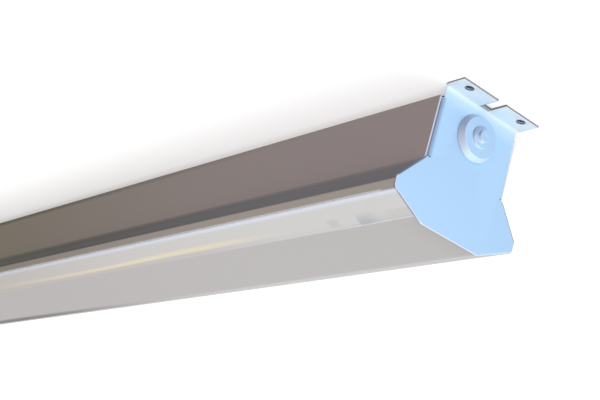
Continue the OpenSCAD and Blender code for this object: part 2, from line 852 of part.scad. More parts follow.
// Supply leads from the terminal block to the socket, and from the earth pole to the stud
module supply_lead(i, shade) {
    x0 = block_x - block_len / 2 + lead_in;
    x1 = connector_x + socket_len / 2 - lead_in;
    y0 = (i - 1) * pole_pitch;
    run = (x0 - x1) / 6;
    color(shade) lead([[x0, y0, supply_lead_z], [x0 - run, y0, supply_lead_z],
                       [x1 + run, pole_y(i), supply_lead_z], [x1, pole_y(i), supply_lead_z]], lead_d);
}

// Plug leads from the plug to the control gear
module plug_lead(i, shade) {
    x0 = connector_x - socket_len / 2 + lead_in;
    x1 = gear_mouth - lead_in;
    run = (x0 - x1) / 6;
    y1 = gear_pole(i, 3);
    color(shade) lead([[x0, pole_y(i), plug_lead_z], [x0 - run, pole_y(i), plug_lead_z],
                       [x1 + run, y1, gear_lead_z], [x1, y1, gear_lead_z]], lead_d);
}

// Lamp leads on the tray: two to each lampholder, the near pair turning back past the control gear
lead_run_y = 20;
lead_rise = 35;
lead_leave = 60;
lead_loop = 16;
lead_loop_step = 5;
lead_return = 10;
far_lead_run = 22;
wire_y = 5;
wire_in = 5;
wire_top = foot_top + 6;
lamp_lead_x = gear_mouth - lead_in;
wire_x = holder_x + holder_t / 2;

module lamp_leads_near() {
    color([0.93, 0.93, 0.9])
        for (k = [0, 1]) {
            y0 = gear_pole(k, 4);
            y1 = -lead_run_y - k * lead_pitch;
            y2 = (1 - 2 * k) * wire_y;
            turn_x = -lamp_lead_x - lead_loop - lead_loop_step * k;
            lead([[-lamp_lead_x, y0, gear_lead_z], [turn_x, y0, gear_lead_z],
                  [turn_x, y1, floor_z], [-lamp_lead_x + lead_return, y1, floor_z],
                  [wire_x - lead_leave, y1, floor_z], [wire_x - lead_leave + lead_rise, y2, wire_top],
                  [wire_x, y2, wire_top], [wire_x, y2, foot_top - wire_in]], lead_d);
        }
}

module lamp_leads_far() {
    color([0.93, 0.93, 0.9])
        for (k = [0, 1]) {
            y0 = gear_pole(k + 2, 4);
            y1 = lead_run_y + (k - 1) * lead_pitch;
            y2 = (2 * k - 1) * wire_y;
            lead([[-lamp_lead_x, y0, gear_lead_z], [-lamp_lead_x - far_lead_run, y0, gear_lead_z],
                  [-lamp_lead_x - lead_leave, y1, floor_z], [-wire_x + lead_leave, y1, floor_z],
                  [-wire_x + lead_leave - lead_rise, y2, wire_top],
                  [-wire_x, y2, wire_top], [-wire_x, y2, foot_top - wire_in]], lead_d);
        }
}

// Saddles spread along the straight runs of the lamp leads, to hold them down on the tray
module lead_clips() {
    near_y = -lead_run_y - lead_pitch / 2;
    far_y = lead_run_y - lead_pitch / 2;
    color([0.9, 0.9, 0.88]) {
        for (x = spread(-lamp_lead_x + lead_return, wire_x - lead_leave, 4)) saddle(x, near_y);
        for (x = spread(-lamp_lead_x - lead_leave, -wire_x + lead_leave, 3)) saddle(x, far_y);
    }
}

module saddle(x, y) {
    wall = 1.2;
    long = 4;
    half = lead_d + 0.2;
    difference() {
        block(x - long, x + long, y - half - wall, y + half + wall,
              tray_top, floor_z + lead_d / 2 + wall);
        block(x - long - cut, x + long + cut, y - half, y + half, tray_top + 0.2, floor_z + lead_d / 2);
    }
}

// Lampholders

holder_side = holder_w / 2;
rotor_back = holder_x + rotor_depth;
pocket_half = 2;
pocket_low = lamp_z - 6;
pocket_high = tray_under - 4;
contact_t = 0.8;

module holder_face() {
    translate([0, lamp_z]) circle(d = holder_w);
    translate([-holder_side, lamp_z]) square([holder_w, tray_under - lamp_z]);
}

module lampholder(side) {
    slot_w = pin_d + 0.9;
    color([0.94, 0.94, 0.93]) at_end(side) difference() {
        union() {
            along_x(holder_x, holder_back) holder_face();
            block(holder_x + foot_inset, holder_back - foot_inset,
                  -foot_w / 2, foot_w / 2, tray_under - cut, foot_top);
            block(holder_x + foot_inset, holder_back - foot_inset,
                  -foot_w / 2 - foot_ear, foot_w / 2 + foot_ear, tray_top, tray_top + foot_ear);
        }
        translate([0, 0, lamp_z]) rod_x(rotor_d, holder_x - cut, rotor_back);
        block(holder_x - cut, rotor_back, -slot_w / 2, slot_w / 2, lamp_z - holder_w, lamp_z);
        for (s = [-1, 1]) {
            block(rotor_back + 1, holder_back + cut, s * wire_y - pocket_half, s * wire_y + pocket_half,
                  pocket_low, pocket_high);
            translate([wire_x, s * wire_y, 0]) rod_z(lead_d, foot_top - wire_in, foot_top + cut);
        }
    }
}

// Brass contacts in the back of a lampholder
module holder_contacts(side) {
    color(brass) at_end(side)
        for (s = [-1, 1]) {
            block(rotor_back + 1, rotor_back + 1 + contact_t,
                  s * wire_y - pocket_half, s * wire_y + pocket_half, pocket_low, pocket_high);
            block(rotor_back + 1, holder_back - 0.5,
                  s * wire_y - pocket_half, s * wire_y + pocket_half, pocket_low, pocket_low + contact_t);
        }
}

module rotor(side) {
    slot_w = pin_d + 0.4;
    color([0.88, 0.88, 0.86]) at_end(side) translate([0, 0, lamp_z]) difference() {
        rod_x(rotor_d - 2 * run_fit, holder_x + seat_gap, rotor_back - seat_gap);
        block(holder_x - cut, holder_x + pin_len, -rotor_d, rotor_d, -slot_w / 2, slot_w / 2);
    }
}

// Lamp

neck_len = 3;
cap_wall = 0.5;
cap_r = lamp_d / 2 - 0.1;
neck_r = cap_r - cap_wall - 0.05;
disc_d = 17;
disc_t = 2;
stem_d = 8;
stem_flare = 1.5;
stem_root = lamp_half - neck_len - 22;

module lamp_tube() {
    shoulder_x = lamp_half - cap_len;
    side = [[neck_r, lamp_half - neck_len], [neck_r, shoulder_x], [lamp_d / 2, shoulder_x - 1]];
    color([0.97, 0.97, 0.96]) translate([0, 0, lamp_z]) rotate([0, 90, 0])
        rotate_extrude()
            polygon(concat(
                side, [for (q = reversed(side)) [q[0], -q[1]]],
                [for (q = side) [q[0] - glass_t, -q[1]]],
                [for (q = reversed(side)) [q[0] - glass_t, q[1]]]));
}

module lamp_stems() {
    bore = neck_r - glass_t;
    color([0.85, 0.9, 0.9])
        for (side = [-1, 1]) at_end(side) translate([0, 0, lamp_z]) {
            rod_x(2 * bore, lamp_half - neck_len - stem_flare, lamp_half - neck_len);
            rod_x(stem_d, stem_root, lamp_half - neck_len - stem_flare);
        }
}

module lamp_cathodes() {
    post_d = 0.8;
    post_y = 3;
    post_len = 10;
    coil_d = 1.6;
    coil_len = 9;
    color([0.35, 0.35, 0.36])
        for (side = [-1, 1]) at_end(side) translate([0, 0, lamp_z]) {
            for (s = [-1, 1]) translate([0, s * post_y, 0]) rod_x(post_d, stem_root - post_len, stem_root);
            translate([stem_root - post_len, 0, 0]) rotate([90, 0, 0])
                cylinder(d = coil_d, h = coil_len, center = true);
        }
}

module lamp_cap(side) {
    color([0.8, 0.8, 0.81]) at_end(side) translate([0, 0, lamp_z]) difference() {
        rod_x(2 * cap_r, lamp_half - cap_len, lamp_half);
        rod_x(2 * (cap_r - cap_wall), lamp_half - cap_len - cut, lamp_half - 1);
        rod_x(disc_d, lamp_half - disc_t, lamp_half + cut);
    }
}

module cap_discs() {
    color([0.55, 0.38, 0.22])
        for (side = [-1, 1]) at_end(side) translate([0, 0, lamp_z]) difference() {
            rod_x(disc_d, lamp_half - disc_t, lamp_half);
            for (s = [-1, 1])
                translate([0, s * pin_pitch / 2, 0])
                    rod_x(pin_d, lamp_half - disc_t - cut, lamp_half + cut);
        }
}

module lamp_pins() {
    color([0.8, 0.7, 0.45])
        for (side = [-1, 1]) at_end(side)
            for (s = [-1, 1])
                translate([0, s * pin_pitch / 2, lamp_z])
                    rod_x(pin_d, lamp_half - disc_t - 0.5, lamp_half + pin_len - lamp_play);
}

// Clips that hold the cover's rims
clip_t = 0.5;
clip_bend_r = 0.6;
rivet_d = 3.2;
rivet_head_h = 0.9;
rivet_flare = 2.4;

module cover_clips() {
    wing = beside(tray_wing(), -tray_t / 2 - clip_t / 2);
    lean = unit(wing[2] - wing[1]);
    y1 = rim_in - seat_gap - clip_t / 2;
    foot = wing[1] + (wing[2] - wing[1]) * 0.25;
    knee = wing[1] + lean * (y1 - 1.2 - wing[1][0]) / lean[0];
    color([0.7, 0.7, 0.72])
        for (x = clip_stations(), side = [0, 1])
            mirror([0, side, 0]) difference() {
                along_x(x - clip_w / 2, x + clip_w / 2)
                    folded([foot, knee, [y1, shoulder + rim_h - 1], [y1 - 1.6, shoulder]],
                           clip_bend_r, clip_t);
                clip_rivet_hole(x);
            }
}

// Places what goes through a clip and the tray's wing on the side of positive Y, from the clip's inner face
module at_clip_rivet(x) {
    w = tray_wing();
    lean = unit(w[2] - w[1]);
    spot = w[1] + (w[2] - w[1]) * 0.42;
    translate([x, spot[0], spot[1]]) rotate([-atan2(-lean[1], lean[0]), 0, 0])
        translate([0, 0, -tray_t / 2 - clip_t]) children();
}

module clip_rivet_hole(x) {
    at_clip_rivet(x) translate([0, 0, -cut]) cylinder(d = rivet_d, h = tray_t + clip_t + 2 * cut);
}

module clip_rivet_holes() {
    for (x = clip_stations(), side = [0, 1]) mirror([0, side, 0]) clip_rivet_hole(x);
}

// Flush with the tray's upper face, domed under the clip
module clip_rivets() {
    color(screw_steel)
        for (x = clip_stations(), side = [0, 1]) mirror([0, side, 0]) at_clip_rivet(x) {
            cylinder(d = rivet_d, h = tray_t + clip_t);
            translate([0, 0, -rivet_head_h])
                cylinder(d1 = rivet_d, d2 = rivet_d + rivet_flare, h = rivet_head_h);
        }
}

housing();
end_plate(1);  // end_plate_near
end_plate(-1);  // end_plate_far
cable_grommet(1);  // cable_grommet_near
cable_grommet(-1);  // cable_grommet_far
entry_plug();
tray_bridges();
terminal_block();
terminal_screws();
contact_bars();
earth_stud();
earth_nuts();
earth_lug();
earth_lead();
supply_socket();
socket_screws();
supply_lead(0, [0.45, 0.28, 0.16]);  // supply_lead_live
supply_lead(2, [0.2, 0.35, 0.7]);  // supply_lead_neutral
supply_lead(1, [0.45, 0.65, 0.2]);  // supply_lead_earth
lever(0);  // lever_live
lever(2);  // lever_neutral
lever(1);  // lever_earth
gear_tray();
tray_screws();
tray_screw_rings();
gear_base();
gear_cover();
gear_board();
gear_terminals();
gear_screws();
supply_plug();
plug_pins();
plug_screws();
lampholder(1);  // lampholder_near
lampholder(-1);  // lampholder_far
holder_contacts(1);  // holder_contacts_near
holder_contacts(-1);  // holder_contacts_far
plug_lead(0, [0.45, 0.28, 0.16]);  // plug_lead_live
plug_lead(2, [0.2, 0.35, 0.7]);  // plug_lead_neutral
plug_lead(1, [0.45, 0.65, 0.2]);  // plug_lead_earth
lamp_leads_near();
lamp_leads_far();
lead_clips();
cover_clips();
clip_rivets();
lamp_tube();
lamp_stems();
lamp_cathodes();
lamp_cap(1);  // lamp_cap_near
lamp_cap(-1);  // lamp_cap_far
cap_discs();
lamp_pins();
rotor(1);  // rotor_near
rotor(-1);  // rotor_far
diffuser();
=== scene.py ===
# Batten light: the finishes, the modelled detail and the view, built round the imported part.
# All sizes are metres in the part's own frame: X along the light, Z up, the ceiling at Z = 0.
import json
import math

import bpy
from mathutils import Matrix, Vector

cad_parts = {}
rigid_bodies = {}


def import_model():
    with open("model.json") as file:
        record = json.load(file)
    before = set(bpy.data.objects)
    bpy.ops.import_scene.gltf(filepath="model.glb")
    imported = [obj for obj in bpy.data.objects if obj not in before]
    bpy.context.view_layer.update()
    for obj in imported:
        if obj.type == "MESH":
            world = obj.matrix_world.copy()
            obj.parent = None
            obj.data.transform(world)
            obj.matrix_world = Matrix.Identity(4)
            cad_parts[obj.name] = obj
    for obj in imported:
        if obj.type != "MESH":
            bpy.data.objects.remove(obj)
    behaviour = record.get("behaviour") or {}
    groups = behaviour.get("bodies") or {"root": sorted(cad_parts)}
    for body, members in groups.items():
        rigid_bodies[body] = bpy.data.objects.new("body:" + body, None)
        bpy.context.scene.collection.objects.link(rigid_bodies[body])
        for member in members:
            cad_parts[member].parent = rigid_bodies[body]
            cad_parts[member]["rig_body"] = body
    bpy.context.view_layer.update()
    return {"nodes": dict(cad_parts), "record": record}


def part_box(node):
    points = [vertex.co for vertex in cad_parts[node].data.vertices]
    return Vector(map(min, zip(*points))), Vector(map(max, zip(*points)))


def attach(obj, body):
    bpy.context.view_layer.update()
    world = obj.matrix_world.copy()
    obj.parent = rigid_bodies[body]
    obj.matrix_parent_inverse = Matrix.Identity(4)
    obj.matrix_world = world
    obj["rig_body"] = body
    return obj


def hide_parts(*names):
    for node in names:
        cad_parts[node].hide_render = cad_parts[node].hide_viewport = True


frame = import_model()

# Places on the light that the nodes' boxes give
ROOF_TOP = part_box("housing")[1].z
HOUSING_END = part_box("housing")[1].x
TIP_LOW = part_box("housing")[0].z
TRAY_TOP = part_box("gear_tray")[1].z
COVER_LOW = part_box("diffuser")[0].z
FLANGE_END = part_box("end_plate_near")[1].x
PLATE_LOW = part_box("end_plate_near")[0].z
GROMMET_Z = (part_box("cable_grommet_near")[0].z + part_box("cable_grommet_near")[1].z) / 2
LAMP_Z = (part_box("lamp_tube")[0].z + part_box("lamp_tube")[1].z) / 2
LAMP_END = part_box("lamp_cap_near")[1].x
HOLDER_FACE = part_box("lampholder_near")[0].x

# Folds, corners and thicknesses that no box gives
SHEET_T = 0.0008
PLATE_T = 0.0012
PLATE_FACE = 0.635
HOLE_X, HOLE_Y, HOLE_R = 0.645, 0.0211, 0.0028
WAIST = -0.0466
WING_END = -0.0654
SHOULDER = TIP_LOW - 0.0004
GROMMET_BODY_H = 0.0044

# Slanted edges of the end plate: a point on each, across and up, and the direction that it faces
WING_EDGE = ((0.0302, -0.046), (0.769, 0.64))
LOW_EDGE = ((0.02195, PLATE_LOW), (0.451, -0.893))

ENDS = {"near": 1, "far": -1}

# Camera: a long lens below the near end, looking up along the light
LENS = 77.5
SENSOR = 36
CAMERA_PLACE = (1.15276, -0.42474, -0.33355)
CAMERA_RIGHT = (0.5924, 0.7605, 0.2657)
CAMERA_UP = (0.1335, -0.4179, 0.8987)
CAMERA_BACK = (0.7945, -0.4969, -0.3491)


def place_camera():
    data = bpy.data.cameras.new("camera")
    data.lens = LENS
    data.sensor_width = SENSOR
    camera = bpy.data.objects.new("camera", data)
    bpy.context.scene.collection.objects.link(camera)
    axes = Matrix((CAMERA_RIGHT, CAMERA_UP, CAMERA_BACK)).transposed()
    turn = axes.to_quaternion().normalized().to_matrix().to_4x4()
    camera.matrix_world = Matrix.Translation(CAMERA_PLACE) @ turn
    bpy.context.scene.camera = camera


# Shader maths


class Signal:
    """An output socket that Python's operators reckon with: each one adds its Math node."""

    def __init__(self, finish, socket):
        self.finish = finish
        self.socket = socket

    def maths(self, operation, *values):
        return self.finish.add("ShaderNodeMath", {"operation": operation}, values)

    def __add__(self, other):
        return self.maths("ADD", self, other)

    def __radd__(self, other):
        return self.maths("ADD", other, self)

    def __sub__(self, other):
        return self.maths("SUBTRACT", self, other)

    def __rsub__(self, other):
        return self.maths("SUBTRACT", other, self)

    def __mul__(self, other):
        return self.maths("MULTIPLY", self, other)

    def __rmul__(self, other):
        return self.maths("MULTIPLY", other, self)

    def __abs__(self):
        return self.maths("ABSOLUTE", self)

    def rising(self, start, end):
        """0 below start and 1 above end, with a smooth step between them."""
        settings = {"interpolation_type": "SMOOTHSTEP"}
        return self.finish.add("ShaderNodeMapRange", settings, [self, start, end, 0.0, 1.0])

    def within(self, low, high, soft):
        """1 between low and high, with soft flanks outside them."""
        return self.rising(low - soft, low) * (1 - self.rising(high, high + soft))


class Finish:
    """A node material in the making."""

    def __init__(self, name):
        self.material = bpy.data.materials.new(name)
        self.material.use_nodes = True
        self.tree = self.material.node_tree
        self.tree.nodes.clear()
        self.point = self.add("ShaderNodeTexCoord", output="Object")
        self.x, self.y, self.z = self.parts(self.point)

    def add(self, kind, settings=(), values=(), output=0):
        """Adds one node: its settings first, then the values or links of its sockets."""
        node = self.tree.nodes.new(kind)
        for key, value in dict(settings).items():
            setattr(node, key, value)
        for key, value in values.items() if isinstance(values, dict) else enumerate(values):
            if isinstance(value, Signal):
                self.tree.links.new(value.socket, node.inputs[key])
            else:
                node.inputs[key].default_value = value
        return Signal(self, node.outputs[output]) if node.outputs else None

    def parts(self, vector):
        split = self.add("ShaderNodeSeparateXYZ", {}, [vector]).socket.node
        return [Signal(self, socket) for socket in split.outputs]

    def normal(self):
        """The three parts of the direction that a face points in."""
        return self.parts(self.add("ShaderNodeNewGeometry", output="Normal"))

    def noise(self, size, detail=2.0, stretch=(1, 1, 1)):
        """Noise whose lumps are about size across, drawn out along an axis by stretch."""
        scale = [1 / (size * s) for s in stretch]
        point = self.add("ShaderNodeMapping", {}, {"Vector": self.point, "Scale": scale})
        return self.add("ShaderNodeTexNoise", {}, {"Vector": point, "Scale": 1.0, "Detail": detail})

    def mix(self, factor, a, b):
        """Colour a where factor is 0 and b where it is 1."""
        return self.add("ShaderNodeMix", {"data_type": "RGBA"}, {0: factor, 6: a, 7: b}, output=2)

    def bump(self, height, depth):
        values = {"Height": height, "Distance": depth, "Strength": 1.0}
        return self.add("ShaderNodeBump", {}, values)

    def past_line(self, across, point, facing):
        """How far past a slanted line of the section a point lies; the line faces across and up."""
        return (across - point[0]) * facing[0] + (self.z - point[1]) * facing[1]

    def surface(self, **sockets):
        """The Principled shader; an underscore in a socket's name stands for its space."""
        values = {key.replace("_", " "): value for key, value in sockets.items()}
        self.add("ShaderNodeOutputMaterial", {}, [self.add("ShaderNodeBsdfPrincipled", {}, values)])
        return self.material

    def grained(self, tone, grain, depth, roughness, spread, **sockets):
        """A surface whose grain dents it and makes it rougher by up to spread."""
        rough = grain * spread + roughness
        return self.surface(Base_Color=tone, Roughness=rough, Normal=self.bump(grain, depth), **sockets)


def shade(red, green, blue):
    """A colour as a screen shows it, 0 to 255, made the linear one that a shader takes."""
    return (*[((c / 255 + 0.055) / 1.055) ** 2.4 for c in (red, green, blue)], 1.0)


# Finishes: each tone is mixed in by a mask, mostly by the place on the light in metres

PEEL_SIZE, PEEL_DEPTH = 0.0011, 0.000012
SATIN_SIZE, SATIN_DEPTH = 0.0008, 0.000006
MOULD_SIZE, MOULD_DEPTH = 0.0004, 0.000008
RUBBER_SIZE, RUBBER_DEPTH = 0.0003, 0.00001
SCRATCH_SIZE, SCRATCH_DEPTH = 0.00025, 0.000004

# How much the satin surfaces mirror, as the shader's specular level
COVER_GLOSS = 0.25
HOUSING_GLOSS = COVER_GLOSS / 3


def housing_paint(name):
    """Satin warm grey, with painted shade and reflected colour that turn it darker and more olive away
    from the near end, painted shade on the sloped wings and painted highlights on the cut ends.
    """
    f = Finish(name)
    # Painted shade and reflected colour: every tone turns darker and more olive away from the near end
    near = f.x.rising(-0.15, 0.55)
    spine = f.mix(near, shade(117, 108, 89), shade(146, 134, 133))
    wing_shade = f.mix(f.x.rising(0.1, 0.62), shade(66, 66, 58), shade(110, 106, 110))
    tip = f.mix(near, shade(130, 122, 111), shade(163, 153, 145))
    # Painted highlight on the cut ends, dimmer low on the wings and tips
    cut_end_highlight = f.mix(f.z.rising(-0.066, -0.046), shade(140, 130, 122), shade(214, 214, 224))

    # Painted shade under the roof's edge, where the ceiling shades it, less so near the end
    ceiling_shade = f.z.rising(-0.0118, -0.0092) * (0.85 - 0.85 * f.x.rising(-0.1, 0.6))
    # Painted shade on the sloped wings: a crisp step at the fold, darker below it and darker again low
    # down
    below_waist = WAIST - f.z
    fold_line = below_waist.rising(-0.0003, 0.0004)
    wing_slope = below_waist.rising(0.0, 0.007)
    low_slope_shade = below_waist.rising(0.009, 0.0185)
    on_tip = 1 - f.z.rising(WING_END - 0.0021, WING_END - 0.001)
    clouds = f.noise(0.16, stretch=(3, 1, 1))
    cut_end = abs(f.x).rising(HOUSING_END - 0.0004, HOUSING_END - 0.0003)

    tone = f.mix(ceiling_shade, spine, shade(74, 72, 60))
    tone = f.mix(fold_line * 0.45, tone, wing_shade)
    tone = f.mix(wing_slope, tone, wing_shade)
    tone = f.mix(low_slope_shade * 0.2, tone, shade(86, 84, 90))
    tone = f.mix(on_tip, tone, tip)
    tone = f.mix(clouds * 0.12, tone, shade(120, 116, 104))
    tone = f.mix(cut_end, tone, cut_end_highlight)
    peel = f.noise(PEEL_SIZE, detail=3.0)
    return f.grained(
        tone, peel, PEEL_DEPTH, roughness=0.5, spread=0.12, Specular_IOR_Level=HOUSING_GLOSS
    )


def plate_paint(name):
    """Satin pale blue, with painted light that turns it paler towards and under the flange, painted
    highlights and shade on the cut sides, and painted highlights on the lower edges.
    """
    f = Finish(name)
    nx, ny = f.normal()[:2]
    across, along = abs(f.y), abs(f.x)
    on_plate = along.rising(PLATE_FACE - PLATE_T - 0.0001, PLATE_FACE - PLATE_T)
    on_flange = along.rising(PLATE_FACE + PLATE_T, PLATE_FACE + PLATE_T + 0.0004)
    side_on = 1 - abs(nx).rising(0.5, 0.8)

    # Painted light: paler towards the flange and palest on its underside, as lit from below
    upwards, towards_flange = f.z.rising(-0.06, -0.012), f.z.rising(-0.014, -0.0045)
    flange = f.z.rising(-0.0055, -0.0016)
    clouds = f.noise(0.035)
    tone = f.mix(upwards, shade(179, 218, 255), shade(180, 218, 254))
    tone = f.mix(towards_flange, tone, shade(200, 231, 253))
    tone = f.mix(flange, tone, shade(234, 249, 255))
    tone = f.mix(clouds * 0.2, tone, shade(187, 216, 252))

    # Painted shade along the edge by the sloped wings, painted highlights on the cut sides with painted
    # shade on them above the tips, and painted shade on the rolled fold on the -Y side
    wing_edge_shadow = f.past_line(across, *WING_EDGE).rising(-0.0008, -0.0003)
    wing_edge_shadow *= f.z.within(-0.0648, -0.047, 0.0003)
    cut_side = side_on * on_plate * (1 - f.z.rising(-0.012, -0.009))
    above_tip_shade = cut_side * f.z.rising(-0.0665, -0.0645)
    rolled_fold_shade = (-1 * f.y).rising(0.0262, 0.0298) * f.z.within(-0.0448, -0.0095, 0.0015) * (1 - cut_side)
    tone = f.mix(wing_edge_shadow * 0.85, tone, shade(72, 78, 116))
    tone = f.mix(cut_side, tone, shade(212, 224, 246))
    tone = f.mix(above_tip_shade, tone, shade(96, 110, 150))
    tone = f.mix(rolled_fold_shade * 0.8, tone, shade(104, 122, 160))

    # Flange: a painted highlight on a lip beside the cut edge, painted shade on that outer edge and on
    # the sides, and painted shade in the holes and at the end of the notch
    inset = FLANGE_END - along
    lip = f.z.rising(-0.0016, -0.0012) * (1 - across.rising(0.0285, 0.0305) * 0.5)
    outer_edge_shade = 1 - inset.rising(0.0002, 0.0004)
    flange_side_shade = (-1 * ny).rising(0.4, 0.8) * on_flange
    # Painted shade inside the screw holes and at the inner end of the notch
    aside, ahead = across - HOLE_Y, along - HOLE_X
    hole = 1 - (aside * aside + ahead * ahead).rising(HOLE_R**2, (HOLE_R + 0.0001) ** 2)
    notch_shade = f.z.rising(-0.0013, -0.0011) * (1 - across.rising(0.0035, 0.0039))
    tone = f.mix(lip * inset.within(0.0004, 0.0011, 0.0002), tone, shade(252, 254, 255))
    tone = f.mix(outer_edge_shade * 0.8, tone, shade(132, 122, 132))
    tone = f.mix(flange_side_shade, tone, shade(128, 108, 118))
    tone = f.mix(hole, tone, shade(96, 102, 118))
    tone = f.mix(notch_shade, tone, shade(112, 100, 94))

    # Painted highlights along the lower edges
    bottom = cut_side * (1 - f.z.rising(PLATE_LOW + 0.0005, PLATE_LOW + 0.0013))
    low_edge_highlight = f.past_line(f.y, *LOW_EDGE).rising(-0.0011, -0.0004) * f.y.rising(0.0222, 0.0232)
    tone = f.mix(bottom, tone, shade(252, 254, 255))
    tone = f.mix(low_edge_highlight * 0.8, tone, shade(222, 246, 255))
    peel = f.noise(PEEL_SIZE, detail=3.0)
    return f.grained(tone, peel, PEEL_DEPTH, roughness=0.42, spread=0.1)


def opal_cover(name):
    """Extruded opal plastic, with painted light: highlights on the rims, a warm painted reflection along
    each slanted side, and painted shade of the parts inside.
    """
    f = Finish(name)
    along = abs(f.x)
    near = f.x.rising(-0.1, 0.5)

    # Down the slanted side, from 0 at the shoulder to 1 at the flat bottom
    down = (SHOULDER - f.z) * (1 / (SHOULDER - COVER_LOW))
    flat = down.rising(0.96, 0.995)
    # Painted highlight along the rim under the wing tips
    lit_rim = 1 - down.rising(0.1, 0.24)
    # Painted light: the slanted side lighter than the flat bottom, and both darker away from the near
    # end
    side = f.mix(near, shade(184, 176, 170), shade(209, 207, 205))
    bottom = f.mix(near, shade(179, 174, 172), shade(191, 187, 187))
    tone = f.mix(flat, side, bottom)
    tone = f.mix(lit_rim * 0.85, tone, f.mix(near, shade(196, 198, 208), shade(219, 225, 238)))

    # A warm painted reflection, whose middle line rises a little at both of its ends
    middle = 0.79 - 0.08 * f.x.rising(0.27, 0.4) - 0.05 * (1 - f.x.rising(0.12, 0.25))
    reflection_streak = 1 - abs(down - middle).rising(0.0, 0.15)
    reach = f.x.rising(-0.02, 0.36) * (1 - f.x.rising(0.42, 0.53))
    glow_and_painted_reflection = f.mix(f.x.rising(0.0, 0.3), shade(214, 194, 172), shade(231, 219, 190))
    tone = f.mix(reflection_streak * reach * 0.95, tone, glow_and_painted_reflection)

    # A painted highlight on the lip at the shoulder, and bands along the lower corner
    lip = 1 - down.rising(0.02, 0.08)
    low_band = down.within(0.84, 0.96, 0.04)
    band = f.mix(f.x.rising(0.4, 0.55), shade(188, 180, 178), shade(204, 203, 204))
    near_end = f.x.rising(0.55, 0.6)
    # A painted shade line and a painted highlight line along the lower corner, close to the near end
    shade_line, highlight_line = down.within(0.93, 0.95, 0.015), down.within(0.965, 0.99, 0.01)
    tone = f.mix(lip * 0.9, tone, shade(246, 248, 255))
    tone = f.mix(low_band * 0.5, tone, band)
    tone = f.mix(shade_line * near_end * 0.2, tone, shade(140, 144, 152))
    tone = f.mix(highlight_line * near_end * 0.6, tone, shade(226, 230, 238))

    # Painted shade of the end plate, and painted shadows of the lampholders and the cathodes seen
    # through the cover
    by_plate = f.x.rising(0.606, 0.618) * down.within(0.7, 0.95, 0.08)
    by_holder = along.rising(0.5875, 0.5895) * (1 - along.rising(0.594, 0.614))
    holder = by_holder * down.rising(0.5, 0.88) * (1 - flat)
    cathode = along.within(0.565, 0.568, 0.006) * down.within(0.68, 0.82, 0.1)
    tone = f.mix(by_plate * 0.2, tone, shade(170, 166, 166))
    tone = f.mix(holder * 0.5, tone, shade(150, 160, 166))
    tone = f.mix(cathode * 0.25, tone, shade(160, 160, 158))

    # The flat's +Y edge: a painted highlight near the near end, turning to painted shade, darker and
    # broader, away from it
    far = 1 - f.x.rising(0.0, 0.42)
    far_side = (f.y + far * 0.003).rising(0.0225, 0.0262)
    tone = f.mix(far_side * flat, tone, f.mix(far, shade(210, 208, 210), shade(92, 92, 90)))
    satin = f.noise(SATIN_SIZE, stretch=(6, 1, 1))
    return f.grained(
        tone, satin, SATIN_DEPTH, roughness=0.32, spread=0.1, Specular_IOR_Level=COVER_GLOSS
    )


def painted(name, colour, clouds, roughness):
    """Smooth paint with a faint orange peel and faint clouds of a second colour."""
    f = Finish(name)
    tone = f.mix(f.noise(0.03) * 0.5, colour, clouds)
    peel = f.noise(PEEL_SIZE, detail=3.0)
    return f.grained(tone, peel, PEEL_DEPTH, roughness, spread=0.1)


def moulded(name, colour, clouds, roughness):
    """Moulded plastic with a fine grain from its tool."""
    f = Finish(name)
    tone = f.mix(f.noise(0.012) * 0.5, colour, clouds)
    pits = f.noise(MOULD_SIZE, detail=4.0)
    return f.grained(tone, pits, MOULD_DEPTH, roughness, spread=0.15)


def rubber_moulding(name):
    """Soft pale blue rubber, with painted light by the way each flank faces: painted shade on the -Y
    side, lighter on the +Y side and palest underneath.
    """
    f = Finish(name)
    nx, ny, nz = f.normal()
    # Painted light by facing: painted shade on the -Y flanks, lighter +Y flanks and palest underneath
    flank = 1 - abs(nx).rising(0.75, 0.95)
    shaded_flank_tone = f.mix(nz.rising(-0.6, 0.3), shade(188, 184, 200), shade(134, 146, 168))
    tone = f.mix(f.noise(0.006) * 0.25, shade(178, 213, 250), shade(186, 217, 250))
    tone = f.mix(flank * ny.rising(-0.1, 0.5), tone, shade(194, 230, 253))
    tone = f.mix(flank * (-1 * nz).rising(0.2, 0.8), tone, shade(222, 246, 255))
    tone = f.mix(flank * (-1 * ny).rising(0.15, 0.8) * 0.9, tone, shaded_flank_tone)

    # Shade on the ring round the step, on its upper -Y side
    height = abs(f.x) - PLATE_FACE
    ring = height.rising(GROMMET_BODY_H, GROMMET_BODY_H + 0.0004) * (1 - height.rising(0.0056, 0.0064))
    shaded = f.past_line(f.y, (0, GROMMET_Z), (-0.75, 0.66)).rising(0.0015, 0.005)
    tone = f.mix(shaded * ring * 0.7, tone, shade(128, 146, 172))
    pits = f.noise(RUBBER_SIZE, detail=4.0)
    return f.grained(tone, pits, RUBBER_DEPTH, roughness=0.45, spread=0.12)


def metal(name, colour, clouds, roughness, lay=(1, 1, 1)):
    """Bare or plated metal with fine scratches along its lay and cloudy patches."""
    f = Finish(name)
    tone = f.mix(f.noise(0.004, detail=3.0), colour, clouds)
    scratches = f.noise(SCRATCH_SIZE, detail=3.0, stretch=lay)
    return f.grained(tone, scratches, SCRATCH_DEPTH, roughness, spread=0.2, Metallic=1.0)


def board(name):
    """Green solder mask with copper tracks under it and darker tall parts above."""
    f = Finish(name)
    tracks = f.noise(0.004, detail=0.0, stretch=(3, 1, 1)).rising(0.5, 0.53)
    parts = f.z.rising(TRAY_TOP + 0.0056, TRAY_TOP + 0.0057)
    tone = f.mix(tracks * 0.5, shade(30, 92, 52), shade(58, 130, 74))
    tone = f.mix(parts, tone, shade(44, 44, 48))
    return f.surface(Base_Color=tone, Roughness=tracks * 0.1 + 0.35)


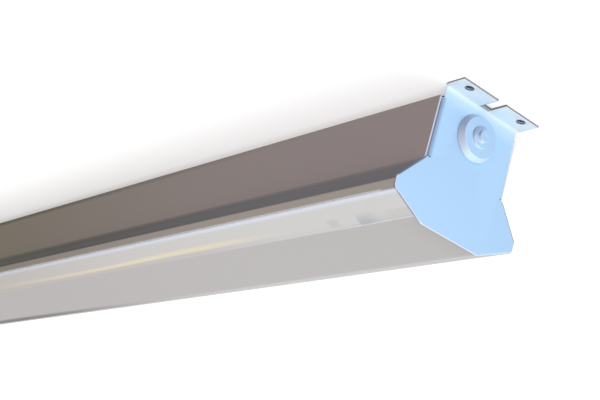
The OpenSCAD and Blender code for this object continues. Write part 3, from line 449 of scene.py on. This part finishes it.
def insulation(name, colour, stripe=None):
    """Wire insulation, with a second colour along it where it marks the earth."""
    f = Finish(name)
    worn = [0.8 * c for c in colour[:3]] + [1.0]
    tone = f.mix(f.noise(0.005) * 0.35, colour, worn)
    if stripe:
        tone = f.mix(f.normal()[2].rising(0.1, 0.3), tone, stripe)
    matt = f.noise(0.0005)
    return f.surface(Base_Color=tone, Roughness=matt * 0.15 + 0.38)


def lamp_coating(name):
    """Phosphor behind glass: even white, with grey bands where the cathodes have darkened it."""
    f = Finish(name)
    grey = abs(f.x).within(LAMP_END - 0.036, LAMP_END - 0.022, 0.012)
    tone = f.mix(f.noise(0.05, stretch=(4, 1, 1)) * 0.3, shade(247, 247, 244), shade(240, 240, 236))
    tone = f.mix(grey * 0.35, tone, shade(150, 146, 140))
    return f.surface(Base_Color=tone, Roughness=grey * 0.05 + 0.08, Coat_Weight=0.6)


def clear_glass(name):
    f = Finish(name)
    tone = f.mix(f.noise(0.01) * 0.2, shade(235, 245, 245), shade(214, 230, 230))
    return f.surface(Base_Color=tone, Roughness=0.05, Transmission_Weight=0.9, IOR=1.5)


FINISHES = {
    "housing_paint": housing_paint("housing_paint"),
    "plate_paint": plate_paint("plate_paint"),
    "tray_paint": painted("tray_paint", shade(240, 240, 237), shade(232, 232, 228), 0.25),
    "gear_paint": painted("gear_paint", shade(226, 226, 222), shade(215, 215, 212), 0.35),
    "grommet_rubber": rubber_moulding("grommet_rubber"),
    "black_plastic": moulded("black_plastic", shade(44, 44, 46), shade(58, 58, 60), 0.4),
    "white_plastic": moulded("white_plastic", shade(240, 240, 235), shade(230, 229, 222), 0.35),
    "orange_plastic": moulded("orange_plastic", shade(232, 112, 34), shade(218, 98, 26), 0.35),
    "opal_plastic": opal_cover("opal_plastic"),
    "zinc_steel": metal("zinc_steel", shade(206, 204, 196), shade(190, 190, 180), 0.25),
    "spring_steel": metal("spring_steel", shade(196, 196, 200), shade(178, 180, 186), 0.18, (20, 1, 1)),
    "contact_brass": metal("contact_brass", shade(214, 182, 104), shade(190, 154, 82), 0.22),
    "board_green": board("board_green"),
    "lead_brown": insulation("lead_brown", shade(112, 70, 42)),
    "lead_blue": insulation("lead_blue", shade(48, 92, 176)),
    "lead_earth": insulation("lead_earth", shade(72, 146, 58), shade(232, 212, 50)),
    "lead_white": insulation("lead_white", shade(238, 238, 230)),
    "lamp_glass": lamp_coating("lamp_glass"),
    "stem_glass": clear_glass("stem_glass"),
    "cathode_metal": metal("cathode_metal", shade(112, 110, 108), shade(80, 78, 78), 0.35),
    "cap_aluminium": metal("cap_aluminium", shade(212, 212, 214), shade(196, 196, 200), 0.22, (1, 8, 8)),
    "disc_brown": moulded("disc_brown", shade(134, 92, 56), shade(112, 76, 46), 0.5),
}
SLOT_OF = {part["node"]: part["material_slot"] for part in frame["record"]["subparts"]}
for node, o in frame["nodes"].items():
    o.data.materials.clear()
    o.data.materials.append(FINISHES[SLOT_OF[node]])


# Modelling tools


def alone(o):
    """Makes o the only thing selected, and the active one."""
    bpy.ops.object.select_all(action="DESELECT")
    o.select_set(True)
    bpy.context.view_layer.objects.active = o


def settled(name):
    """Names the primitive just added and puts its place into its mesh."""
    o = bpy.context.object
    o.name = o.data.name = name
    alone(o)
    bpy.ops.object.transform_apply(location=True, rotation=True, scale=True)
    return o


def about(middle, half):
    """The two limits that lie half on each side of a middle."""
    return middle - half, middle + half


def brick(name, x, y, z):
    """A rectangular blank between two limits on each axis."""
    low, high = (Vector(corner) for corner in zip(x, y, z))
    bpy.ops.object.select_all(action="DESELECT")
    bpy.ops.mesh.primitive_cube_add(size=1, location=(low + high) / 2, scale=high - low)
    return settled(name)


def turned(name, foot, along, steps, sides=32, roll=0.0):
    """A turned piece: a disc at foot, drawn out along a direction through steps of (radius, height)."""
    radius, height = steps[0]
    bpy.ops.object.select_all(action="DESELECT")
    bpy.ops.mesh.primitive_circle_add(
        vertices=sides, radius=radius, fill_type="NGON", location=(0, 0, height)
    )
    bpy.ops.object.transform_apply(location=True)
    bpy.ops.object.mode_set(mode="EDIT")
    bpy.ops.mesh.select_all(action="SELECT")
    for new_radius, new_height in steps[1:]:
        rise = {"value": (0, 0, new_height - height)}
        bpy.ops.mesh.extrude_region_move(TRANSFORM_OT_translate=rise)
        share = new_radius / radius
        bpy.ops.transform.resize(value=(share, share, 1), center_override=(0, 0, 0))
        radius, height = new_radius, new_height
    bpy.ops.mesh.select_all(action="SELECT")
    bpy.ops.mesh.normals_make_consistent(inside=False)
    bpy.ops.object.mode_set(mode="OBJECT")
    o = bpy.context.object
    turn = Vector(along).to_track_quat("Z", "Y").to_matrix() @ Matrix.Rotation(roll, 3, "Z")
    o.rotation_euler = turn.to_euler()
    o.location = foot
    return settled(name)


def modified(o, kind, **settings):
    """Adds a modifier with these settings and applies it."""
    modifier = o.modifiers.new(kind.lower(), kind)
    for key, value in settings.items():
        setattr(modifier, key, value)
    alone(o)
    bpy.ops.object.modifier_apply(modifier=modifier.name)


def cut_from(o, *cutters):
    for cutter in cutters:
        modified(o, "BOOLEAN", operation="DIFFERENCE", solver="EXACT", object=cutter)
        bpy.data.objects.remove(cutter)
    return o


def fuse(o, other):
    modified(o, "BOOLEAN", operation="UNION", solver="EXACT", object=other)
    bpy.data.objects.remove(other)


def moved_copy(o, move):
    """A copy of o with its own mesh, moved."""
    alone(o)
    bpy.ops.object.duplicate()
    bpy.context.object.location = move
    return settled(o.name + "_copy")


def mirrored(o, name):
    """A copy of o at the other end of the light, its faces turned the right way again."""
    alone(o)
    bpy.ops.object.duplicate()
    bpy.context.object.scale = (-1, 1, 1)
    copy = settled(name)
    bpy.ops.object.mode_set(mode="EDIT")
    bpy.ops.mesh.select_all(action="SELECT")
    bpy.ops.mesh.normals_make_consistent(inside=False)
    bpy.ops.object.mode_set(mode="OBJECT")
    return copy


def joined(name, pieces):
    bpy.ops.object.select_all(action="DESELECT")
    for o in pieces:
        o.select_set(True)
    bpy.context.view_layer.objects.active = pieces[0]
    bpy.ops.object.join()
    pieces[0].name = pieces[0].data.name = name
    return pieces[0]


SMOOTH_BELOW = math.radians(32)
TURNED_SMOOTH_BELOW = math.radians(40)
LEAD_SMOOTH_BELOW = math.radians(50)


def smoothed(o, angle=SMOOTH_BELOW):
    """Shades o smooth where its faces meet at less than an angle."""
    alone(o)
    bpy.ops.object.shade_smooth_by_angle(angle=angle)
    return o


def eased(o, width, segments=2):
    """Takes the sharpness off the edges and shades the piece smooth between them."""
    modified(o, "BEVEL", width=width, segments=segments, limit_method="ANGLE", angle_limit=SMOOTH_BELOW)
    return smoothed(o)


def frame_copy(name, node):
    """A copy of a node's mesh in an object of its own, without the shading that came with it."""
    o = bpy.data.objects.new(name, frame["nodes"][node].data.copy())
    o.data.name = name
    bpy.context.scene.collection.objects.link(o)
    alone(o)
    bpy.ops.mesh.customdata_custom_splitnormals_clear()
    return o


SAME_SPOT = 1e-6
SAME_PLANE = math.radians(0.4)


def traced(name, node):
    """A copy of a node's mesh with its triangles merged into whole faces, ready to be worked on."""
    o = frame_copy(name, node)
    bpy.ops.object.mode_set(mode="EDIT")
    bpy.ops.mesh.select_all(action="SELECT")
    bpy.ops.mesh.remove_doubles(threshold=SAME_SPOT)
    bpy.ops.mesh.dissolve_limited(angle_limit=SAME_PLANE)
    bpy.ops.object.mode_set(mode="OBJECT")
    return o


def stands_for(o, node):
    """Finishes o as the node that it replaces, and lets it ride on the same body."""
    slot = SLOT_OF[node]
    o.data.materials.clear()
    o.data.materials.append(FINISHES[slot])
    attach(o, frame["nodes"][node]["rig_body"])
    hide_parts(node)


# Folded sheet, its cut edges eased by these widths

SHEETS = {
    "housing": 0.00018,
    "gear_tray": 0.00015,
    "tray_bridges": 0.0002,
    "gear_base": 0.00015,
    "cover_clips": 0.0001,
    "diffuser": 0.0002,
    "earth_lug": 0.00012,
    "contact_bars": 0.00015,
    "holder_contacts_near": 0.00012,
    "holder_contacts_far": 0.00012,
}
for node, width in SHEETS.items():
    stands_for(eased(traced(node + "_sheet", node), width), node)

PLATE_EASE = 0.00022
plate = eased(traced("end_plate_near_sheet", "end_plate_near"), PLATE_EASE)
stands_for(mirrored(plate, "end_plate_far_sheet"), "end_plate_far")
stands_for(plate, "end_plate_near")

# Turned and moulded pieces that only need their edges rounded

ROUNDED = {
    "tray_screw_rings": 0.0002,
    "plug_pins": 0.0004,
    "cap_discs": 0.0002,
    "lead_clips": 0.0003,
    "clip_rivets": 0.00025,
    "lamp_tube": 0.0004,
}
for node, width in ROUNDED.items():
    stands_for(eased(traced(node + "_round", node), width, segments=3), node)


# Cable grommets

GROMMET_NECK = 0.01025
GROMMET_LIP = 0.01195
GROMMET_LIP_T = 0.002
GROMMET_BRIM_H = 0.001
GROMMET_FACE = 0.012
GROMMET_STEP = 0.0065
GROMMET_STEP_H = 0.0014
GROMMET_NOSE = 0.0035
RUBBER_T = 0.0014


def cable_grommet():
    """The near grommet: brim, tapering body, step and dimpled nose outside, and a hollow behind them."""
    low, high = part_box("cable_grommet_near")
    tip = high.x - PLATE_FACE
    brim = high.y
    step_at = GROMMET_BODY_H + GROMMET_STEP_H
    lip_back = -PLATE_T - GROMMET_LIP_T
    dimple = [(0.0003, tip - 0.0007), (0.0008, tip - 0.0005), (0.0012, tip - 0.0002), (0.0018, tip)]
    outside = [
        (GROMMET_NOSE, tip), (GROMMET_NOSE, step_at), (GROMMET_STEP, step_at),
        (GROMMET_STEP, GROMMET_BODY_H), (GROMMET_FACE, GROMMET_BODY_H), (brim, GROMMET_BRIM_H),
        (brim, 0), (GROMMET_NECK, 0), (GROMMET_NECK, -PLATE_T), (GROMMET_LIP, -PLATE_T),
        (GROMMET_LIP, lip_back),
    ]
    wall = RUBBER_T
    inside = [
        (GROMMET_NECK - wall, lip_back), (GROMMET_NECK - wall, GROMMET_BODY_H - wall),
        (GROMMET_STEP - wall, GROMMET_BODY_H - wall), (GROMMET_STEP - wall, step_at - wall),
        (GROMMET_NOSE - wall, step_at - wall), (GROMMET_NOSE - wall, tip - 0.0006 - wall),
    ]
    foot = (PLATE_FACE, 0, GROMMET_Z)
    o = turned("grommet_near", foot, (1, 0, 0), dimple + outside + inside, sides=96)
    return eased(o, width=0.00045, segments=4)


grommet = cable_grommet()
stands_for(mirrored(grommet, "grommet_far"), "cable_grommet_far")
stands_for(grommet, "cable_grommet_near")


# Blanking plug in the spare rear entry

# How far a cutter reaches past the face that it cuts
CLEAR = 0.001


def blanking_plug():
    """Snap-in plug: a domed head with a coin slot, and a lip cut into four fingers."""
    low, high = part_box("entry_plug")
    roof_under = ROOF_TOP - SHEET_T
    middle = ((low.x + high.x) / 2, 0, 0)
    head = (high.x - low.x) / 2
    neck, lip = head - 0.0025, head - 0.0017
    steps = [
        (0.0075, high.z - 0.0003), (0.009, high.z), (0.0115, high.z), (head - 0.0003, high.z - 0.0006),
        (head, ROOF_TOP + 0.0003), (head, ROOF_TOP), (neck, ROOF_TOP), (neck, roof_under),
        (lip, roof_under), (lip - 0.0005, low.z), (neck - 0.0015, low.z),
        (neck - 0.0015, roof_under + 0.0003), (0.004, roof_under + 0.0003),
    ]
    o = turned("blanking_plug", middle, (0, 0, 1), steps, sides=64)
    x = middle[0]
    slot = brick("slot", about(x, 0.006), about(0, 0.0008), (high.z - 0.0008, high.z + CLEAR))
    fingers = (low.z - CLEAR, roof_under - 0.0001)
    gaps = [
        brick("gap", about(x, 0.014), about(0, 0.0012), fingers),
        brick("gap", about(x, 0.0012), about(0, 0.014), fingers),
    ]
    return eased(cut_from(o, slot, *gaps), width=0.00015)


stands_for(blanking_plug(), "entry_plug")


# Screws, nuts and the earth stud

THREAD_PITCH = 0.0007


def thread(core, crest, start, end):
    """Steps of a threaded shank between two heights."""
    steps = [(core, start)]
    for turn in range(int((end - start) / THREAD_PITCH)):
        at = start + turn * THREAD_PITCH
        steps += [(crest, at + 0.35 * THREAD_PITCH), (crest, at + 0.5 * THREAD_PITCH)]
        steps += [(core, at + 0.85 * THREAD_PITCH)]
    return steps + [(core, end)]


def screw(name, spot, tip, seat, crown, shank, head, slotted=False):
    """A screw along Z with a ridged shank and a domed head with a slot or a cross."""
    way = 1 if crown > tip else -1
    run, tall = abs(seat - tip), abs(crown - seat)
    core = 0.84 * shank
    steps = [(0.7 * core, 0)] + thread(core, shank, 0.3 * core, run - 0.0006)
    steps += [(shank, run - 0.0004), (shank, run), (head, run), (head, run + 0.5 * tall)]
    steps += [(0.93 * head, run + 0.78 * tall), (0.78 * head, run + 0.93 * tall)]
    steps += [(0.5 * head, run + tall)]
    o = turned(name, (*spot, tip), (0, 0, way), steps, sides=24)
    x, y = spot
    depth = sorted((crown - way * 0.5 * tall, crown + way * CLEAR))
    reach, half = (1.1 * head, 0.1 * head) if slotted else (0.55 * head, 0.12 * head)
    drive = [brick("drive", about(x, reach), about(y, half), depth)]
    if not slotted:
        drive += [brick("drive", about(x, half), about(y, reach), depth)]
    cut_from(o, *drive)
    return smoothed(o, TURNED_SMOOTH_BELOW)


SMALL = {"head": 0.0028, "tall": 0.002, "shank": 0.00175}
SCREWS = {
    "terminal_screws": {**SMALL, "down": True},
    "socket_screws": {**SMALL, "down": True},
    "plug_screws": {**SMALL, "down": False},
    "gear_screws": {"head": 0.0035, "tall": 0.0024, "shank": 0.00175, "down": False},
    "tray_screws": {"head": 0.0055, "tall": 0.004, "shank": 0.0025, "down": True, "slotted": True},
}
for node, form in SCREWS.items():
    low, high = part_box(node)
    head = form["head"]
    beside = high.x - low.x < 3 * head
    spots = [Vector((low.x + head, 0)), Vector((high.x - head, 0))]
    if beside:
        spots = [Vector(((low.x + high.x) / 2, side * (high.y - head))) for side in (-1, 1)]
    crown, tip = (low.z, high.z) if form["down"] else (high.z, low.z)
    seat = crown + (form["tall"] if form["down"] else -form["tall"])
    first = screw(node + "_pair", spots[0], tip, seat, crown, form["shank"], head, form.get("slotted"))
    second = moved_copy(first, (spots[1] - spots[0]).to_3d())
    stands_for(joined(node + "_pair", [first, second]), node)

NUT_H = 0.0032
NUT_R = 0.004
STUD_R = 0.002
WELD_H = 0.0012


def earth_nuts():
    """Two chamfered hexagon nuts that clamp the lug on its stud."""
    low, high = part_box("earth_nuts")
    spot = ((low.x + high.x) / 2, (low.y + high.y) / 2)
    edge = 0.0004
    steps = [(0.9 * NUT_R, 0), (NUT_R, edge), (NUT_R, NUT_H - edge), (0.9 * NUT_R, NUT_H)]
    nut = turned("earth_nut_pair", (*spot, low.z), (0, 0, 1), steps, sides=6, roll=math.radians(30))
    cut_from(nut, turned("bore", (*spot, low.z - edge), (0, 0, 1), [(STUD_R, 0), (STUD_R, 2 * NUT_H)]))
    eased(nut, width=0.0002)
    upper = moved_copy(nut, (0, 0, high.z - low.z - NUT_H))
    return joined("earth_nut_pair", [nut, upper])


def earth_stud():
    low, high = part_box("earth_stud")
    spot = ((low.x + high.x) / 2, (low.y + high.y) / 2, high.z)
    weld = (high.x - low.x) / 2
    length = high.z - low.z
    steps = [(weld, 0), (weld, 0.0007), (0.7 * weld, WELD_H)]
    steps += thread(0.86 * STUD_R, STUD_R, WELD_H, length - 0.0004) + [(0.6 * STUD_R, length)]
    o = turned("earth_stud_turned", spot, (0, 0, -1), steps, sides=24)
    return smoothed(o, TURNED_SMOOTH_BELOW)


stands_for(earth_nuts(), "earth_nuts")
stands_for(earth_stud(), "earth_stud")


# Supply terminals and connector

POLE_PITCH = 0.0096
ENTRY_FACE = 0.011
SUPPLY_HOLE = 0.0017
SUPPLY_HOLE_BELOW_ROOF = 0.0065
LEVER_RIB_PITCH = 0.0012
CONNECTOR_HALF = 0.0105


def terminal_block():
    """The block with a funnel and a test slot at each supply entry, and grooves between the poles."""
    o = traced("terminal_block_moulded", "terminal_block")
    low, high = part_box("terminal_block")
    face = low.x + (high.x - low.x) / 2 + ENTRY_FACE
    entry_z = high.z - SUPPLY_HOLE_BELOW_ROOF
    test_z = (entry_z - 0.0052, entry_z - 0.0041)
    funnel = [(SUPPLY_HOLE, -0.0006), (SUPPLY_HOLE, 0), (0.0028, 0.0012), (0.0028, 0.002)]
    for pole in (-1, 0, 1):
        y = pole * POLE_PITCH
        cut_from(o, turned("funnel", (face - 0.0012, y, entry_z), (1, 0, 0), funnel))
        cut_from(o, brick("test", (face - 0.003, face + CLEAR), about(y, 0.0009), test_z))
    for side in (-0.5, 0.5):
        x, y = (face - 0.0006, face + CLEAR), about(side * POLE_PITCH, 0.0003)
        cut_from(o, brick("groove", x, y, (low.z - CLEAR, high.z)))
    return eased(o, width=0.0002)


def lever(pole):
    """A lever with three ribs for the finger."""
    node = "lever_" + pole
    o = traced(node + "_ribbed", node)
    low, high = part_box(node)
    arm_low = low.z + 0.001
    y = about((low.y + high.y) / 2, 0.0031)
    for i in range(3):
        x = low.x + 0.0026 + i * LEVER_RIB_PITCH
        fuse(o, brick("rib", (x, x + 0.0006), y, (arm_low - 0.0003, arm_low + 0.0002)))
    return eased(o, width=0.00012)


def ribbed_connector(node, rib_low, rib_high):
    """One half of the supply connector, with upright finger ribs on its two long faces."""
    o = traced(node + "_moulded", node)
    low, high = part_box(node)
    for face, out in ((low.x, -1), (high.x, 1)):
        x = sorted((face - out * 0.0005, face + out * CLEAR))
        for i in range(5):
            y = (i - 2) * CONNECTOR_HALF / 2.6
            cut_from(o, brick("groove", x, about(y, 0.0004), (rib_low, rib_high)))
    return eased(o, width=0.0002)


stands_for(terminal_block(), "terminal_block")
for pole in ("live", "neutral", "earth"):
    stands_for(lever(pole), "lever_" + pole)
plug_low, plug_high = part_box("supply_plug")
plug = ribbed_connector("supply_plug", plug_low.z + 0.0095, plug_high.z - 0.001)
stands_for(plug, "supply_plug")
socket_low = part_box("supply_socket")[0]
socket = ribbed_connector("supply_socket", socket_low.z + 0.001, socket_low.z + 0.005)
stands_for(socket, "supply_socket")


# Control gear

GEAR_POLE = 0.0056
VENTS = 10
VENT_PITCH = 0.0035


def gear_cover():
    """The case's cover: rounded long edges, vents near both ends and a shallow blank panel on top."""
    o = eased(traced("gear_case", "gear_cover"), width=0.0007, segments=3)
    low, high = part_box("gear_cover")
    y, z = (low.y - CLEAR, high.y + CLEAR), (high.z - 0.014, high.z - 0.005)
    vents = []
    for side in (-1, 1):
        for i in range(VENTS):
            x = side * (high.x - 0.012 - i * VENT_PITCH)
            vents.append(brick("vent", about(x, 0.0006), y, z))
    cut_from(o, joined("vents", vents))
    cut_from(o, brick("panel", about(0, 0.055), about(0, 0.0105), (high.z - 0.00025, high.z + CLEAR)))
    return smoothed(o)


def gear_terminals():
    """The two terminal rows, with a release slot over each wire hole."""
    o = traced("gear_terminal_rows", "gear_terminals")
    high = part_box("gear_terminals")[1]
    z = (high.z - 0.0012, high.z + CLEAR)
    slots = []
    for side, count in ((1, 3), (-1, 4)):
        x = sorted((side * (high.x - 0.0035), side * (high.x - 0.0065)))
        for i in range(count):
            y = (i - (count - 1) / 2) * GEAR_POLE
            slots.append(brick("slot", x, about(y, 0.0009), z))
    return eased(cut_from(o, joined("slots", slots)), width=0.0002)


stands_for(gear_cover(), "gear_cover")
stands_for(gear_terminals(), "gear_terminals")


# Lamp and lampholders

COLLAR_R = 0.0103
GRIP_PITCH = 0.002
RING_T = 0.0008


def ring_cutter(x, radius):
    """A torus round the lamp's axis that cuts a round-bottomed groove."""
    bpy.ops.object.select_all(action="DESELECT")
    bpy.ops.mesh.primitive_torus_add(
        major_radius=radius, minor_radius=RING_T / 2, major_segments=64, minor_segments=12,
        location=(x, 0, LAMP_Z), rotation=Vector((1, 0, 0)).to_track_quat("Z", "Y").to_euler(),
    )
    return settled("ring")


def lampholder(end):
    """A lampholder with a groove round its rotor and grip ribs on its flanks."""
    node = "lampholder_" + end
    side = ENDS[end]
    o = traced(node + "_moulded", node)
    cut_from(o, ring_cutter(side * HOLDER_FACE, COLLAR_R + 0.0006))
    low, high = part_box(node)
    z = (LAMP_Z + 0.001, LAMP_Z + 0.012)
    grooves = []
    for i in range(4):
        x = side * (HOLDER_FACE + 0.0035 + i * GRIP_PITCH)
        for y in (low.y, high.y):
            grooves.append(brick("groove", about(x, 0.0003), about(y, 0.0004), z))
    cut_from(o, joined("grooves", grooves))
    return eased(o, width=0.00025)


def rotor(end):
    """A rotor with a pointer ridge beside its slot."""
    node = "rotor_" + end
    side = ENDS[end]
    o = traced(node + "_pointed", node)
    face = side * (HOLDER_FACE + 0.0003)
    x = sorted((face - side * 0.0002, face + side * 0.0005))
    fuse(o, brick("pointer", x, about(0, 0.0008), (LAMP_Z + 0.003, LAMP_Z + 0.0075)))
    return eased(o, width=0.00015)


def lamp_cap(end):
    """An aluminium cap, crimped round near the glass."""
    node = "lamp_cap_" + end
    side = ENDS[end]
    o = traced(node + "_drawn", node)
    cap_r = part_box(node)[1].y
    cut_from(o, ring_cutter(side * (LAMP_END - 0.0105), cap_r + 0.0002))
    return eased(o, width=0.00018, segments=3)


PIN_R = 0.001175


def lamp_pins():
    """The four round-nosed pins."""
    low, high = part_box("lamp_pins")
    root = LAMP_END - 0.0025
    length = high.x - root
    steps = [(PIN_R, 0), (PIN_R, length - 0.0007)]
    steps += [(0.86 * PIN_R, length - 0.0003), (0.5 * PIN_R, length)]
    pins = []
    for side in (-1, 1):
        for y in (low.y + PIN_R, high.y - PIN_R):
            pin = turned("pin", (side * root, y, LAMP_Z), (side, 0, 0), steps, sides=24)
            pins.append(smoothed(pin, TURNED_SMOOTH_BELOW))
    return joined("lamp_pin_set", pins)


for end in ENDS:
    stands_for(lampholder(end), "lampholder_" + end)
    stands_for(rotor(end), "rotor_" + end)
    stands_for(lamp_cap(end), "lamp_cap_" + end)
stands_for(lamp_pins(), "lamp_pins")


# Leads

LEADS = ["earth_lead", "lamp_leads_near", "lamp_leads_far"]
LEADS += [kind + "_lead_" + pole for kind in ("supply", "plug") for pole in ("live", "neutral", "earth")]
LEAD_GAIN = 0.00012


def round_lead(node):
    """The lead's eight-sided solid swollen a little and subdivided round, with flat ends."""
    o = frame_copy(node + "_round", node)
    bpy.ops.object.mode_set(mode="EDIT")
    bpy.ops.mesh.select_all(action="SELECT")
    bpy.ops.mesh.remove_doubles(threshold=SAME_SPOT)
    bpy.ops.mesh.tris_convert_to_quads(
        face_threshold=math.radians(60), shape_threshold=math.radians(180)
    )
    bpy.ops.transform.shrink_fatten(value=LEAD_GAIN)
    bpy.ops.object.mode_set(mode="OBJECT")
    modified(o, "SUBSURF", levels=1, render_levels=1)
    return smoothed(o, LEAD_SMOOTH_BELOW)


for node in LEADS:
    stands_for(round_lead(node), node)


# Stage: the ceiling that the light hangs on, with dark discs of painted shade behind the flange's screw
# holes, a floor, and soft lamps

AMBIENT = 0.62
MIDDLE = (0.3, 0, -0.04)
PALE = (0.95, 0.95, 0.95, 1)
DARK = (0.09, 0.11, 0.14, 1)
STAGE_SIZE = 30
CEILING_Z = 0.0004
FLOOR_Z = -2.4
HOLE_SHADE_R = 0.0031
HOLE_SHADE_Z = 0.0002
SOFT_LAMPS = {
    "front_lamp": dict(place=(6.0, -2.0, -2.0), size=3.0, power=150, colour=(0.97, 0.985, 1.0)),
    "side_lamp": dict(place=(0.5, -6.0, -1.5), size=3.0, power=38, colour=(1.0, 0.985, 0.96)),
    "under_lamp": dict(place=(0.0, 0.5, -6.0), size=3.5, power=53, colour=(1.0, 0.99, 0.98)),
    "top_lamp": dict(place=(-1.0, 5.0, 4.0), size=3.0, power=150, colour=(1.0, 1.0, 1.0)),
}


def one_sided(name, colour, lift):
    """A plain colour from its front, lifted by a glow, and nothing from behind, to hide nothing."""
    f = Finish(name)
    behind = f.add("ShaderNodeNewGeometry", output="Backfacing")
    paint = f.add("ShaderNodeBsdfDiffuse", {}, {"Color": colour})
    glow_and_painted_reflection = f.add("ShaderNodeEmission", {}, {"Color": (1, 1, 1, 1), "Strength": lift})
    front = f.add("ShaderNodeAddShader", {}, [paint, glow_and_painted_reflection])
    clear = f.add("ShaderNodeBsdfTransparent")
    f.add("ShaderNodeOutputMaterial", {}, [f.add("ShaderNodeMixShader", {}, [behind, front, clear])])
    return f.material


def panel(name, height, facing_down, material):
    """A wide flat sheet of the stage, level at a height."""
    bpy.ops.object.select_all(action="DESELECT")
    turn = (math.pi if facing_down else 0, 0, 0)
    bpy.ops.mesh.primitive_plane_add(size=STAGE_SIZE, location=(0, 0, height), rotation=turn)
    o = settled(name)
    o.data.materials.append(material)
    seen_by_camera_only(o)


def hole_shade_disc(x, y, material):
    """A dark disc of painted shade on the ceiling behind a screw hole of the flange."""
    bpy.ops.object.select_all(action="DESELECT")
    bpy.ops.mesh.primitive_circle_add(
        radius=HOLE_SHADE_R, fill_type="NGON", location=(x, y, HOLE_SHADE_Z), rotation=(math.pi, 0, 0)
    )
    o = settled("hole_shade_disc")
    o.data.materials.append(material)
    seen_by_camera_only(o)


def seen_by_camera_only(o):
    for kind in ("diffuse", "glossy", "transmission", "volume_scatter", "shadow"):
        setattr(o, "visible_" + kind, False)


def soft_lamp(name, place, size, power, colour):
    """A square lamp that faces the middle of the light."""
    data = bpy.data.lights.new(name, "AREA")
    data.size = size
    data.energy = power
    data.color = colour
    o = bpy.data.objects.new(name, data)
    bpy.context.scene.collection.objects.link(o)
    o.location = place
    o.rotation_euler = (Vector(MIDDLE) - Vector(place)).to_track_quat("-Z", "Y").to_euler()


def light_stage():
    """A white world to look at and to mirror, which lights the object only at the ambient level."""
    world = bpy.data.worlds.new("studio")
    bpy.context.scene.world = world
    world.use_nodes = True
    tree = world.node_tree
    tree.nodes.clear()
    path = tree.nodes.new("ShaderNodeLightPath")
    seen = path.outputs["Is Camera Ray"]
    for name in ("Is Glossy Ray", "Is Transmission Ray"):
        larger = tree.nodes.new("ShaderNodeMath")
        larger.operation = "MAXIMUM"
        tree.links.new(seen, larger.inputs[0])
        tree.links.new(path.outputs[name], larger.inputs[1])
        seen = larger.outputs[0]
    strength = tree.nodes.new("ShaderNodeMapRange")
    tree.links.new(seen, strength.inputs[0])
    strength.inputs[3].default_value = AMBIENT
    strength.inputs[4].default_value = 1.0
    background = tree.nodes.new("ShaderNodeBackground")
    tree.links.new(strength.outputs[0], background.inputs["Strength"])
    background.inputs["Color"].default_value = (1, 1, 1, 1)
    output = tree.nodes.new("ShaderNodeOutputWorld")
    tree.links.new(background.outputs[0], output.inputs[0])


place_camera()
ceiling_paint = one_sided("stage_ceiling", PALE, lift=0.36)
floor_paint = one_sided("stage_floor", PALE, lift=0.5)
hole_shade = one_sided("stage_hole_shade", DARK, lift=0.0)
panel("ceiling", CEILING_Z, facing_down=True, material=ceiling_paint)
panel("floor", FLOOR_Z, facing_down=False, material=floor_paint)
for end in ENDS.values():
    for side in (-1, 1):
        hole_shade_disc(end * HOLE_X, side * HOLE_Y, hole_shade)
light_stage()
for name, form in SOFT_LAMPS.items():
    soft_lamp(name, **form)

bpy.context.scene.view_settings.view_transform = "Standard"
